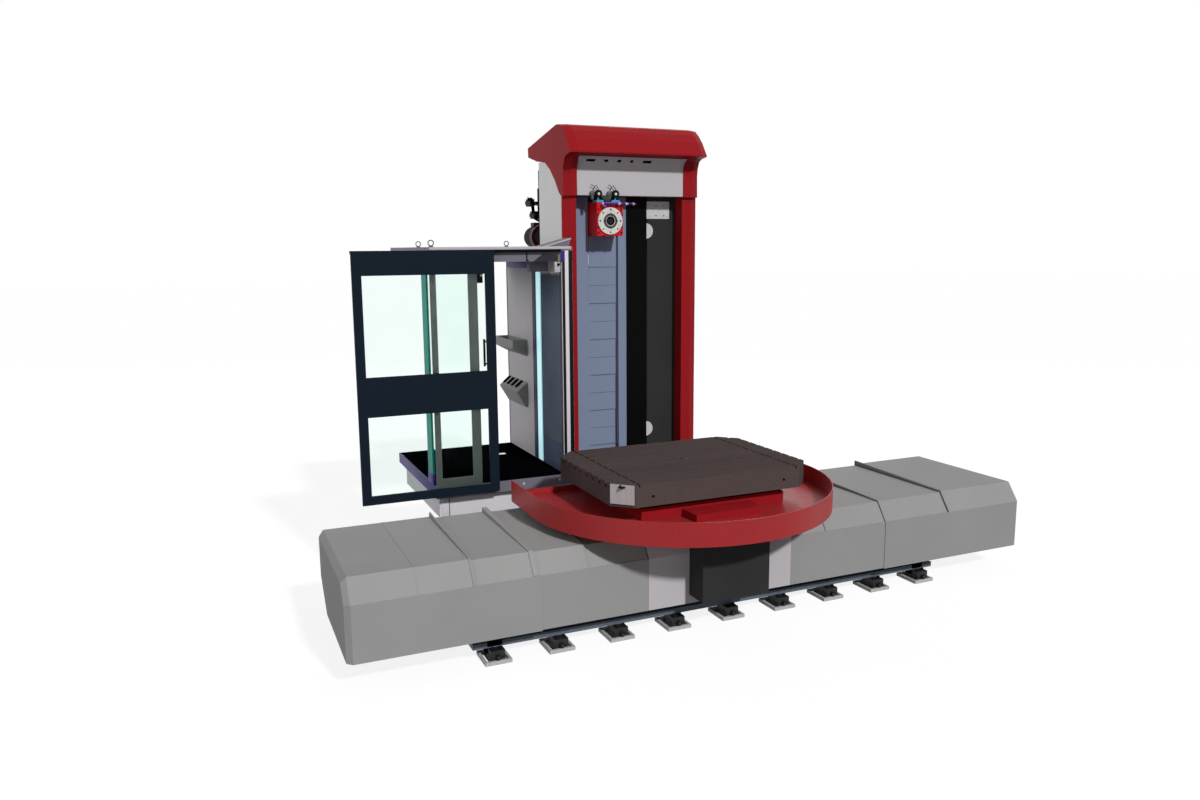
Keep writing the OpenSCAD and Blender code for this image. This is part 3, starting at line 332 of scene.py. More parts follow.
class Shape:
    """A mesh made of plain solids, in millimetres from the middle of the table bed.

    Attributes:
        bm: the mesh being built.
    """

    def __init__(self) -> None:
        """Start with an empty mesh."""
        self.bm = bmesh.new()

    def ease(self, edges: list[bmesh.types.BMEdge], radius: float, steps: int = 2) -> None:
        """Round some edges.

        Args:
            edges: the edges.
            radius: how far the rounding reaches.
            steps: flats that make up the rounding.
        """
        bmesh.ops.bevel(self.bm, geom=edges, offset=radius, segments=steps, affect="EDGES",
                        profile=0.5, material=-1)

    def block(self, size: Point, place: Matrix) -> list[bmesh.types.BMVert]:
        """Add a box around the origin of a turned and moved frame.

        Args:
            size: length, depth and height of the box.
            place: the frame it stands in.

        Returns:
            The corners of the box.
        """
        made = bmesh.ops.create_cube(self.bm, size=1.0)["verts"]
        bmesh.ops.scale(self.bm, vec=size, verts=made)
        bmesh.ops.transform(self.bm, matrix=place, verts=made)
        return made

    def box(self, low: Point, high: Point, round_by: float = 0.0) -> None:
        """Add a box with its sides along the axes.

        Args:
            low: its lowest corner.
            high: its highest corner.
            round_by: rounding of its edges.
        """
        size = Vector(high) - Vector(low)
        made = self.block(size, Matrix.Translation((Vector(low) + Vector(high)) / 2))
        if round_by > 0:
            self.ease(list(dict.fromkeys(e for v in made for e in v.link_edges)), round_by)

    def rod(self, start: Point, end: Point, radius: float, sides: int = 32,
            round_by: float = 0.0) -> None:
        """Add a round bar.

        Args:
            start: middle of one end.
            end: middle of the other end.
            radius: radius of the bar.
            sides: number of sides.
            round_by: rounding of both rims.
        """
        a, b = Vector(start), Vector(end)
        turn = (b - a).to_track_quat("Z", "Y").to_matrix().to_4x4()
        made = bmesh.ops.create_cone(
            self.bm, cap_ends=True, segments=sides, radius1=radius, radius2=radius,
            depth=(b - a).length, matrix=Matrix.Translation((a + b) / 2) @ turn)["verts"]
        if round_by > 0:
            edges = dict.fromkeys(e for v in made for e in v.link_edges)
            self.ease([e for e in edges if any(len(f.verts) > 4 for f in e.link_faces)], round_by)

    def tube(self, start: Point, end: Point, outer: float, inner: float, sides: int = 40) -> None:
        """Add a ring or tube by turning its section around the axis.

        Args:
            start: middle of one end.
            end: middle of the other end.
            outer: outer radius.
            inner: inner radius.
            sides: number of sides.
        """
        a, b = Vector(start), Vector(end)
        axis = (b - a).normalized()
        side = axis.orthogonal().normalized()
        spots = [a + side * inner, a + side * outer, b + side * outer, b + side * inner]
        verts = [self.bm.verts.new(p) for p in spots]
        edges = [self.bm.edges.new((verts[i], verts[(i + 1) % 4])) for i in range(4)]
        bmesh.ops.spin(self.bm, geom=verts + edges, cent=a, axis=axis, angle=math.tau,
                       steps=sides, use_merge=True)

    def path(self, points: list[Point], radius: float, sides: int) -> None:
        """Add a thin pipe, one straight piece per step with a ball at each bend.

        Args:
            points: the points it runs through.
            radius: radius of the pipe.
            sides: number of sides.
        """
        for a, b in zip(points, points[1:]):
            self.rod(a, b, radius, sides)
        for p in points[1:-1]:
            bmesh.ops.create_icosphere(self.bm, subdivisions=2, radius=radius * 1.02,
                                       matrix=Matrix.Translation(p))

    def prism(self, outline: list[Span], front: float, back: float) -> None:
        """Extrude an upright outline away from the operator.

        Args:
            outline: its corners in X and Z.
            front: Y of its front face.
            back: Y of its back face.
        """
        face = self.bm.faces.new([self.bm.verts.new((x, front, z)) for x, z in outline])
        made = bmesh.ops.extrude_face_region(self.bm, geom=[face])["geom"]
        moved = [g for g in made if isinstance(g, bmesh.types.BMVert)]
        bmesh.ops.translate(self.bm, vec=(0, back - front, 0), verts=moved)

    def emit(self, name: str, finish: str, body: str, smooth: bool = True) -> None:
        """Turn the mesh into a finished piece that rides on a CAD body.

        Args:
            name: name of the piece.
            finish: key of its finish.
            body: CAD body it moves with.
            smooth: shade smooth across shallow edges.
        """
        self.bm.transform(TO_FRAME)
        bmesh.ops.remove_doubles(self.bm, verts=self.bm.verts, dist=MERGE)
        bmesh.ops.recalc_face_normals(self.bm, faces=self.bm.faces)
        data = bpy.data.meshes.new(name)
        self.bm.to_mesh(data)
        self.bm.free()
        obj = bpy.data.objects.new(name, data)
        bpy.context.scene.collection.objects.link(obj)
        data.materials.append(FINISHES[finish].material())
        if smooth:
            data.shade_smooth()
            data.set_sharp_from_angle(angle=math.radians(SHARP))
        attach(obj, body)
        LOG.info("%s: %d faces on %s", name, len(data.polygons), body)


@dataclass
class TableTrim:
    """Plate and clip on the front left corner of the rotary table."""

    body: str = "table_body"
    half_len: float = 990
    half_wid: float = 730
    chamfer: float = 166
    corner_z: float = 1170
    plate: Trio = (215, 12, 168)
    plate_out: float = 6  # out of the chamfer and up from the corner's foot
    plate_up: float = 85
    clip_out: float = 17
    clip_up: float = 150
    clip_half: float = 22
    clip_z: Span = (-6, 8)
    pin_back: float = 12
    pin_height: float = 20

    def build(self) -> None:
        """Make the corner plate and the clip at its top."""
        a = Vector((SADDLE_X - self.half_len, TABLE_Y - self.half_wid + self.chamfer, self.corner_z))
        b = Vector((SADDLE_X - self.half_len + self.chamfer, TABLE_Y - self.half_wid, self.corner_z))
        out = Vector((-1, -1, 0)).normalized()
        along = (b - a).normalized()
        middle = (a + b) / 2
        plate = Shape()
        spot = Matrix.Translation(middle + out * self.plate_out + Vector((0, 0, self.plate_up)))
        plate.block(self.plate, spot @ along.to_track_quat("X", "Z").to_matrix().to_4x4())
        plate.emit("table_plate", "plate_dull", self.body, False)
        clip = Shape()
        heart = middle + out * self.clip_out + Vector((0, 0, self.clip_up))
        half = self.clip_half
        clip.box(heart + Vector((-half, -half, self.clip_z[0])),
                 heart + Vector((half, half, self.clip_z[1])), 2)
        pin = heart - along * self.pin_back
        clip.rod(pin, pin + Vector((0, 0, self.pin_height)), 5, 16)
        clip.emit("table_clip", "bolt_black", self.body)


@dataclass
class HoodTrim:
    """Lamps in the panel under the hood."""

    body: str = "column_body"
    slots: tuple[Span, ...] = ((-411, -310), (-207, -161), (-57, -11), (94, 130), (242, 343))
    play: float = 1  # gap at each end of a slot
    depth: Span = (1676, 1715)
    height: Span = (4187, 4209)

    def build(self) -> None:
        """Make the dark lenses behind the slots of the panel."""
        lenses = Shape()
        for left, right in self.slots:
            lenses.box((left + self.play, self.depth[0], self.height[0]),
                       (right - self.play, self.depth[1], self.height[1]), 2)
        lenses.emit("hood_lamps", "lens_black", self.body)


@dataclass
class ColumnTrim:
    """Screws, painted shade in slot gaps and folds on the column's front, and a bar behind its side
    panel.
    """

    body: str = "column_body"
    screw_rows: tuple[float, ...] = (-492, -322, 68, 128)  # in X
    screw_low: float = 1120
    screw_pitch: float = 325
    screw_count: int = 9
    strip_y: float = 1876
    slot_z: Span = (1124, 3838)
    plate_x: Span = (505, 602)  # screws of the plate
    plate_z: Span = (3647, 3752)
    covers: int = 5
    fold_half: float = 1.5  # half the height of a fold line

    def build(self) -> None:
        """Make the screws, the bar, the painted shade in the slot gaps and the painted shadow lines.
        """
        screws = Shape()
        for x in self.screw_rows:
            for i in range(self.screw_count):
                z = self.screw_low + i * self.screw_pitch
                screws.rod((x, self.strip_y, z), (x, self.strip_y - 2.5, z), 7, 16, 1)
        screws.emit("strip_screws", "blue_grey", self.body)
        bar = Shape()
        bar.box((-640, 2500.5, 3833), (-612, 2520, 3942), 3)
        bar.emit("edge_bar", "black_parts", self.body)
        # painted shade: dark strips fill the gaps on both sides of the slot cover, which look dark
        # only from the shade in them
        gap_shade = Shape()
        foot, head = self.slot_z
        gap_shade.box((19.8, 1884, foot), (43.2, 1890, head))
        gap_shade.box((-308.8, 1884, foot), (-305.5, 1924, head))
        gap_shade.emit("slot_gap_shade", "slate_trim", self.body, False)
        for k in range(1, self.covers + 1):
            self._folds(k)
        self._plate_screws()

    def _folds(self, k: int) -> None:
        """Draw thin shadow lines along the folds of one slot cover.

        Args:
            k: number of the cover, counted as the CAD nodes are.
        """
        low, high = (from_frame(corner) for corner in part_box(f"way_cover_{k}"))
        folds = Shape()
        for z in (low.z + 4, (low.z + high.z - 25) / 2):
            folds.box((low.x + 18, low.y - .4, z - self.fold_half),
                      (high.x - 6, low.y + 2, z + self.fold_half))
        folds.emit(f"cover_folds_{k}", "slate_trim", f"slot_cover_{k}", False)

    def _plate_screws(self) -> None:
        """Put a screw in each corner of the plate on the column face."""
        heads = Shape()
        front = from_frame(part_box("column_fittings")[0]).y
        for x in self.plate_x:
            for z in self.plate_z:
                heads.rod((x, front + 1, z), (x, front - 1.2, z), 6.5, 16)
        heads.emit("plate_screws", "bolt_black", self.body)


@dataclass
class NoseTrim:
    """Bolts, rings, fittings and thin lines around the spindle nose."""

    body: str = "head_body"
    sleeve: str = "sleeve_body"
    spindle: str = "quill_body"
    corner_bolts: tuple[Span, ...] = ((74, 156), (132, 122), (138, 66))  # from the axis
    sleeve_y: float = 1641  # just inside the end face of the sleeve
    sleeve_bolts: int = 8
    sleeve_bolt_r: float = 118
    lugs: int = 4
    lug_r: float = 73
    eyes: Span = (-275, -79)  # coolant rings
    eye_y: float = 1653
    eye_z: float = 3860
    eye_bolts: int = 6
    eye_bolt_r: float = 31

    def build(self) -> None:
        """Make the bolts of the nose face, the spindle rings, the fittings and the thin lines."""
        self._bolts()
        self._face()
        self._fittings()

    def _bolts(self) -> None:
        """Put cap screws in the corners of the nose face and around the sleeve."""
        bolts = Shape()
        for sx in (-1, 1):
            for sz in (-1, 1):
                for dx, dz in self.corner_bolts:
                    x, z = NOSE_X + sx * dx, NOSE_Z + sz * dz
                    bolts.rod((x, 1655.2, z), (x, 1648, z), 8.8, 16, 1)
        bolts.emit("nose_screws", "bolt_black", self.body)
        heads = Shape()
        for x, z in circle(NOSE_X, NOSE_Z, self.sleeve_bolt_r, self.sleeve_bolts):
            heads.rod((x, self.sleeve_y + 7, z), (x, self.sleeve_y, z), 7.5, 12)
        heads.emit("sleeve_screws", "bolt_black", self.sleeve)

    def _face(self) -> None:
        """Dress the end of the sleeve and of the spindle with rings and drive lugs."""
        self._ring("sleeve_lines", "plate_dull", self.sleeve, (1639.2, 1641), 103.5, 100.5)
        self._ring("sleeve_seal", "olive_dark", self.sleeve, (1638.6, 1641), 79.0, 65.6)
        lugs = Shape()
        for x, z in circle(NOSE_X, NOSE_Z, self.lug_r, self.lugs):
            lugs.rod((x, self.sleeve_y, z), (x, self.sleeve_y - 9, z), 8, 20, 1)
        lugs.emit("drive_lugs", "bolt_black", self.sleeve)
        self._ring("spindle_rim", "olive_dark", self.spindle, (1634.5, 1637), 64.8, 54.5)
        self._ring("spindle_lip", "plate_dull", self.spindle, (1640, 1641.5), 53.8, 46.5)
        self._ring("spindle_cone", "lens_black", self.spindle, (1644, 1645.5), 53.0, 30.0)

    @staticmethod
    def _ring(name: str, finish: str, body: str, depth: Span, outer: float, inner: float) -> None:
        """Make one flat ring around the axis of the spindle.

        Args:
            name: name of the piece.
            finish: key of its finish.
            body: CAD body it turns with.
            depth: Y of its front and back.
            outer: outer radius.
            inner: inner radius.
        """
        ring = Shape()
        ring.tube((NOSE_X, depth[0], NOSE_Z), (NOSE_X, depth[1], NOSE_Z), outer, inner, 64)
        ring.emit(name, finish, body)

    def _fittings(self) -> None:
        """Make the coolant rings with their lenses, the elbows, the thin lines and the painted shade
        between the rings.
        """
        elbows, lines, rims, lenses = Shape(), Shape(), Shape(), Shape()
        y, z = self.eye_y, self.eye_z
        for x in self.eyes:
            rims.tube((x, y + 2, z), (x, y + 38, z), 38.5, 36.3, 48)
            rims.tube((x, y, z), (x, y + 9.5, z), 37, 15, 48)
            for bx, bz in circle(x, z, self.eye_bolt_r, self.eye_bolts):
                rims.rod((bx, y, bz), (bx, y - 4, bz), 5.5, 12)
            lenses.rod((x, y + 3, z), (x, y + 9.5, z), 15, 40)
            elbows.box((x - 92, y + 11, z - 18), (x - 44, y + 37, z + 26), 8)
            elbows.rod((x - 68, y + 24, z - 60), (x - 68, y + 24, z - 18), 13, 20, 2)
            elbows.box((x - 84, y + 7, z - 48), (x - 52, y + 41, z - 36), 3)
            lines.path([(x - 43, y + 27, z + 24), (x - 58, y + 23, z + 46),
                        (x - 38, y + 19, z + 70), (x - 84, y + 15, z + 92)], 3.5, 8)
            lines.path([(x + 12, y + 23, z + 36), (x - 6, y + 19, z + 62),
                        (x - 30, y + 15, z + 86)], 3.5, 8)
        elbows.emit("nose_elbows", "frame_shade", self.body)
        lines.emit("nose_lines", "bolt_black", self.body)
        rims.emit("coolant_rims", "bolt_black", self.body)
        lenses.emit("nose_lenses", "sleeve_white", self.body)
        # painted shade: a dark trapezoid plate stands for the shaded space between the two coolant
        # fittings
        block = Shape()
        block.prism([(-258, 3844), (-196, 3788), (-150, 3788), (-116, 3844)], 1664, 1694)
        block.emit("nose_gap_shade", "motor_dark", self.body, False)


@dataclass
class HoseTrim:
    """Coloured fittings on the coolant hose."""

    body: str = "hose_body"
    axis_y: float = 1622
    axis_z: float = 3757
    bore: float = 12.1
    collars: tuple[float, ...] = (-254, -70, 14)
    bands: Span = (-54, 30)
    dots: range = range(-205, -95, 30)

    def build(self) -> None:
        """Make the collars, the dots, the bands and the tip sleeve."""
        self._sleeves("hose_collars", "white_trim", self.collars, 15, 14.5)
        dots = Shape()
        for x in self.dots:
            dots.rod((x, self.axis_y, self.axis_z + 11), (x, self.axis_y, self.axis_z + 16), 6, 16, 1)
        dots.emit("hose_dots", "white_trim", self.body)
        self._sleeves("hose_bands", "warn_pink", self.bands, 12, 14)
        self._sleeves("hose_tip", "warn_orange", (94,), 24, 15)

    def _sleeves(self, name: str, finish: str, starts: Sequence[float], length: float,
                 outer: float) -> None:
        """Slip short sleeves on the hose.

        Args:
            name: name of the piece.
            finish: key of its finish.
            starts: X of the left end of each sleeve.
            length: length of a sleeve.
            outer: outer radius of a sleeve.
        """
        sleeves = Shape()
        for x in starts:
            sleeves.tube((x, self.axis_y, self.axis_z), (x + length, self.axis_y, self.axis_z),
                         outer, self.bore, 28)
        sleeves.emit(name, finish, self.body)


@dataclass
class MotorTrim:
    """Rim, end face and fins of the spindle motor, and the hoses of the clamp unit above it."""

    body: str = "head_body"
    axis_x: float = -453
    axis_z: float = 3430
    rim_y: Span = (2862, 2892)
    face_y: Span = (2865, 2869.6)
    rings: int = 5  # on the end face
    ring_pitch: float = 16
    fins: int = 7
    fin_y: float = 3052  # front of the first fin
    fin_pitch: float = 22
    hose_y: Span = (2886, 2904)  # front and back of the clamp hoses

    def build(self) -> None:
        """Make the trim of the motor and of the clamp unit."""
        self._motor()
        self._clamp()

    def _motor(self) -> None:
        """Make the rim, the end face, the fins and the cable box."""
        rim = Shape()
        rim.tube(*self._along(*self.rim_y), 144, 104, 64)
        rim.emit("motor_rim", "burgundy", self.body)
        # painted light: the end face gets a lighter grey than the motor's body to make up for the
        # shade it lies in
        face = Shape()
        face.rod(*self._along(*self.face_y), 103.5, 64)
        front = self.face_y[0]
        for i in range(self.rings):
            grow = self.ring_pitch * i
            face.tube(*self._along(front - 2, front), 25 + grow, 21 + grow)
        face.emit("motor_face_painted_light", "frame_shade", self.body)
        fins = Shape()
        for i in range(self.fins):
            y = self.fin_y + i * self.fin_pitch
            fins.tube(*self._along(y, y + 8), 124, 115.1)
        fins.emit("motor_fins", "motor_dark", self.body)
        box = Shape()
        box.box((self.axis_x - 47, 3060, 3546), (self.axis_x + 47, 3170, 3600), 6)
        box.emit("motor_box", "motor_dark", self.body)

    def _along(self, front: float, back: float) -> tuple[Point, Point]:
        """Give two points of the motor's axis from their Y."""
        return (self.axis_x, front, self.axis_z), (self.axis_x, back, self.axis_z)

    def _clamp(self) -> None:
        """Make the dark hoses of the clamp unit and the grey bands on it."""
        hoses, bands = Shape(), Shape()
        for outline in (
                [(-628, 3882), (-604, 3872), (-584, 3880), (-566, 3866), (-560, 3842), (-624, 3842)],
                [(-584, 3777), (-549, 3777), (-544, 3724), (-560, 3724), (-572, 3690)],
                [(-562, 3639), (-500, 3639), (-492, 3610), (-500, 3604)]):
            hoses.prism(outline, *self.hose_y)
        hoses.emit("clamp_hoses", "lens_black", self.body, False)
        bands.rod((-590, 2884, 3812), (-590, 2878, 3812), 24, 32, 2)
        bands.box((-548, 2880, 3788), (-500, 2904, 3806), 4)
        bands.box((-612, 2877, 3782), (-604, 2881, 3842), 2)
        bands.emit("clamp_bands", "liner_grey", self.body)


@dataclass
class CabinTrim:
    """Coloured edges, liners and small fittings of the operator cabin."""

    body: str = "column_body"
    wall_x: float = -846  # left face of the right wall
    liner: float = 3
    panel: float = 2
    front_y: float = 1299.5  # back of the front strips
    strip: float = 5.5
    sheet: float = 3.5
    deck_z: float = 996  # just above the mat
    band_z: Span = (882, 990)
    roof_z: float = 3277
    window_y: Span = (1363, 1895)
    window_sill: float = 1302
    window_top: float = 3109
    rack_x: float = -894
    rack_z: float = 1772.7
    rack_slope: Span = (-124, -104)  # run and drop of the rack's face
    rack_slots: int = 4
    rack_pitch: float = 146
    slot_size: Trio = (108, 84, 4)
    slot_round: float = 20

    def build(self) -> None:
        """Make every trim group of the cabin."""
        self._edges()
        self._window()
        self._front()
        self._bridge()
        self._beam()
        self._lock()
        self._tool_slots()
        self._deck()
        self._ceiling()

    def _on_wall(self, shape: Shape, y: Span, z: Span, thick: float, round_by: float = 1) -> None:
        """Lay a thin sheet on the left face of the right wall.

        Args:
            shape: mesh to add to.
            y: its ends.
            z: its foot and top.
            thick: thickness, measured from the face of the liners.
            round_by: rounding of its edges.
        """
        face = self.wall_x - self.liner
        shape.box((face, y[0], z[0]), (face + thick, y[1], z[1]), round_by)

    def _on_front(self, shape: Shape, x: Span, z: Span, thick: float) -> None:
        """Lay a thin strip in the front plane of the cabin.

        Args:
            shape: mesh to add to.
            x: its sides.
            z: its foot and top.
            thick: how far it comes towards the operator.
        """
        shape.box((x[0], self.front_y - thick, z[0]), (x[1], self.front_y, z[1]), 1)

    def _edges(self) -> None:
        """Make the indigo bands on the platform, the wall and the corner post."""
        band = Shape()
        low, high = self.band_z
        band.box((-2190, 1298, low), (-2187, 3072, high), 1)
        band.box((-2187, 3070, low), (-728, 3072, high), 1)
        self._on_wall(band, (2190, 3070), (3082, 3173), self.liner)
        self._on_wall(band, (3046, 3070), (self.deck_z, 3082), self.liner)
        band.box((-2189, 1440, high), (-2166, 1640, 1097), 1)
        band.box((-856, 1293, 3168), (-813, self.front_y, self.roof_z), 1)
        band.emit("indigo_edges", "indigo_trim", self.body)

    def _window(self) -> None:
        """Make the slate frame and the opaque panels of the right wall; the panel over the window
        carries painted shade.
        """
        frame, shaded_pane, lower = Shape(), Shape(), Shape()
        near, far = self.window_y
        for y in ((far + 1, 1909), (2036, 2186)):
            self._on_wall(frame, y, (self.deck_z, self.window_top), self.liner)
        self._on_wall(frame, self.window_y, (self.deck_z, 1059), self.liner)
        self._on_wall(frame, (1311, near - 1), (self.deck_z, self.window_top), self.liner)
        frame.emit("window_frame", "slate_trim", self.body)
        # tint and painted shade: the opaque panel over the window takes the blue-grey of the glass and
        # the darkness and grain of the shaded column side behind it
        self._on_wall(shaded_pane, self.window_y, (self.window_sill + 1, 3033), self.panel, .5)
        shaded_pane.emit("window_tint_and_shade", "pane_tint_and_shade", self.body)
        self._on_wall(lower, self.window_y, (1060, self.window_sill), self.panel, .5)
        lower.emit("window_low", "slate_dark", self.body)

    def _front(self) -> None:
        """Make the strips at the front end of the right wall, one of them painted shade, and the light
        edge of the roof.
        """
        white, black, edge = Shape(), Shape(), Shape()
        self._on_front(white, (-812, -773), (self.deck_z, self.roof_z), self.strip)
        # painted shade: this black strip stands for the shaded bevel of the column seen right of the
        # white strip
        self._on_front(black, (-773, -730), (self.deck_z, self.roof_z), self.sheet)
        self._on_front(black, (-840, -812), (self.deck_z, 3168), 2.5)
        self._on_front(edge, (-2180, -742), (3292, 3319), self.sheet)
        white.emit("front_strip_white", "frame_light", self.body)
        black.emit("front_strips_black_and_shade", "black_parts", self.body)
        edge.emit("roof_edge", "panel_light", self.body)

    def _bridge(self) -> None:
        """Make the light lip of the sloping plate between the roof and the column."""
        lip = Shape()
        lip.prism([(-976, 3307), (-668, 3390), (-668, 3403), (-976, 3320)], 1476.5, 1479.8)
        lip.emit("bridge_lip", "panel_light", self.body, False)

    def _beam(self) -> None:
        """Make the light leg at the left end of the carrying frame and the painted shadow beside it.
        """
        leg, line = Shape(), Shape()
        leg.box((-2128, 1374, 668), (-2054, 1379.5, 878), 1)
        leg.emit("beam_leg", "frame_light", self.body)
        # painted shadow: a grey line at the right of the leg stands for the shadow the leg casts
        line.box((-2053, 1377, 668), (-2043, 1379.5, 878), 1)
        line.emit("beam_leg_shadow", "liner_grey", self.body)

    def _lock(self) -> None:
        """Make the lock switch of the door and its button."""
        lock, button = Shape(), Shape()
        lock.box((-1720, 1301, 2975), (-1663, 1325, 3062), 3)
        lock.emit("lock_switch", "black_parts", self.body)
        button.rod((-1678, 1301, 3046), (-1678, 1297, 3046), 9, 24)
        button.emit("lock_button", "white_trim", self.body)

    def _tool_slots(self) -> None:
        """Make the dark rounded slots in the sloping face of the tool rack as painted shade."""
        slots = Shape()
        run, drop = self.rack_slope
        out = Vector((run, 0, drop)).normalized()
        up = Vector((drop, 0, -run)).normalized()
        face = Matrix((out, Vector((0, 1, 0)), up)).transposed().to_4x4()
        # painted shade: thin black patches on the face stand for the shaded insides of the slots
        for i in range(self.rack_slots):
            spot = Vector((self.rack_x, 2560 + i * self.rack_pitch, self.rack_z)) + up * .8
            inside = set(slots.block(self.slot_size, Matrix.Translation(spot) @ face))
            slots.ease([e for e in slots.bm.edges if inside.issuperset(e.verts)
                        and abs((e.verts[0].co - e.verts[1].co).normalized().dot(up)) > .9],
                       self.slot_round, 4)
        slots.emit("tool_slot_shade", "lens_black", self.body, False)

    def _deck(self) -> None:
        """Make the light plug in the mat and the two plugs in the front of the platform."""
        plugs = Shape()
        plugs.box((-1212, 2450, 995.2), (-1104, 2505, 1001), 2)
        for x in (-1290, -900):
            plugs.rod((x, 1300, 940), (x, 1294, 940), 11, 24)
        plugs.emit("deck_plugs", "white_trim", self.body)

    def _ceiling(self) -> None:
        """Make the lamp box with its yellow rod, the tray with its painted light, the roller housing
        and the hook.
        """
        box, rod, tray, housing, hook = Shape(), Shape(), Shape(), Shape(), Shape()
        box.box((-915, 1310, 3062), (-851, 1360, 3172), 6)
        box.emit("ceiling_box", "panel_light", self.body)
        rod.rod((-877, 1295, 3163), (-877, 1295, 3226), 4.5, 20)
        rod.emit("ceiling_rod", "warn_yellow", self.body)
        # painted light: the tray is as dark as the roller housing, but gets a far lighter grey to make
        # up for the shade it lies in
        tray.box((-1106, 1500, 3070), (-912, 1600, 3172), 4)
        tray.emit("ceiling_tray_painted_light", "liner_grey", self.body)
        housing.prism([(-1138, 3178), (-1040, 3250), (-886, 3236), (-886, 3178)],
                      self.front_y - self.sheet, self.front_y)
        housing.emit("ceiling_housing", "shade_grey", self.body, False)
        self._on_front(hook, (-1216, -1204), (3182, 3260), self.sheet)
        self._on_front(hook, (-1216, -1192), (3178, 3190), self.sheet)
        self._on_front(hook, (-890, -862), (3130, 3152), self.strip)
        hook.emit("ceiling_hook", "lens_black", self.body)


@dataclass
class FeetTrim:
    """Nuts and end plates at the levelling jacks, and the seam of the fixed front skirt."""

    body: str = "base"
    pitch: float = 550
    count: int = 9
    bolt_z: float = 55
    flange_z: float = 106
    pair: float = 34  # from the middle to each nut on the flange
    plate_half: float = 62
    plate_top: float = 172

    def build(self) -> None:
        """Make the nuts of each jack, the plates at both ends of the row and the seam."""
        reach = (self.count - 1) / 2 * self.pitch
        nuts = Shape()
        for i in range(self.count):
            x = i * self.pitch - reach
            nuts.rod((x, -657, self.bolt_z), (x, -645, self.bolt_z), 24, 6, 2)
            for side in (x - self.pair, x + self.pair):
                nuts.rod((side, -590, self.flange_z), (side, -590, self.flange_z + 18), 13, 6, 1)
        nuts.emit("jack_nuts", "bolt_black", self.body)
        plates = Shape()
        half = self.plate_half
        for x in (-reach, reach):
            plates.box((x - half - 12, -548, 60), (x - half, -470, self.plate_top), 1)
            plates.box((x - half, -556, 118), (x + half, -548, self.plate_top), 1)
        plates.emit("jack_plates", "lens_black", self.body)
        seam = Shape()
        seam.box((-1844, -701.2, 252), (-1840, -700, 704))
        seam.emit("skirt_seam", "shade_grey", self.body, False)


@dataclass(frozen=True)
class Aim:
    """Where a lamp hangs and what it looks at, in metres of the shared frame."""

    spot: Trio
    target: Trio

    def apply(self, lamp: bpy.types.Object) -> None:
        """Hang a lamp at the spot and turn it to the target.

        Args:
            lamp: the lamp.
        """
        lamp.location = self.spot
        look = Vector(self.target) - Vector(self.spot)
        lamp.rotation_euler = look.to_track_quat("-Z", "Y").to_euler()


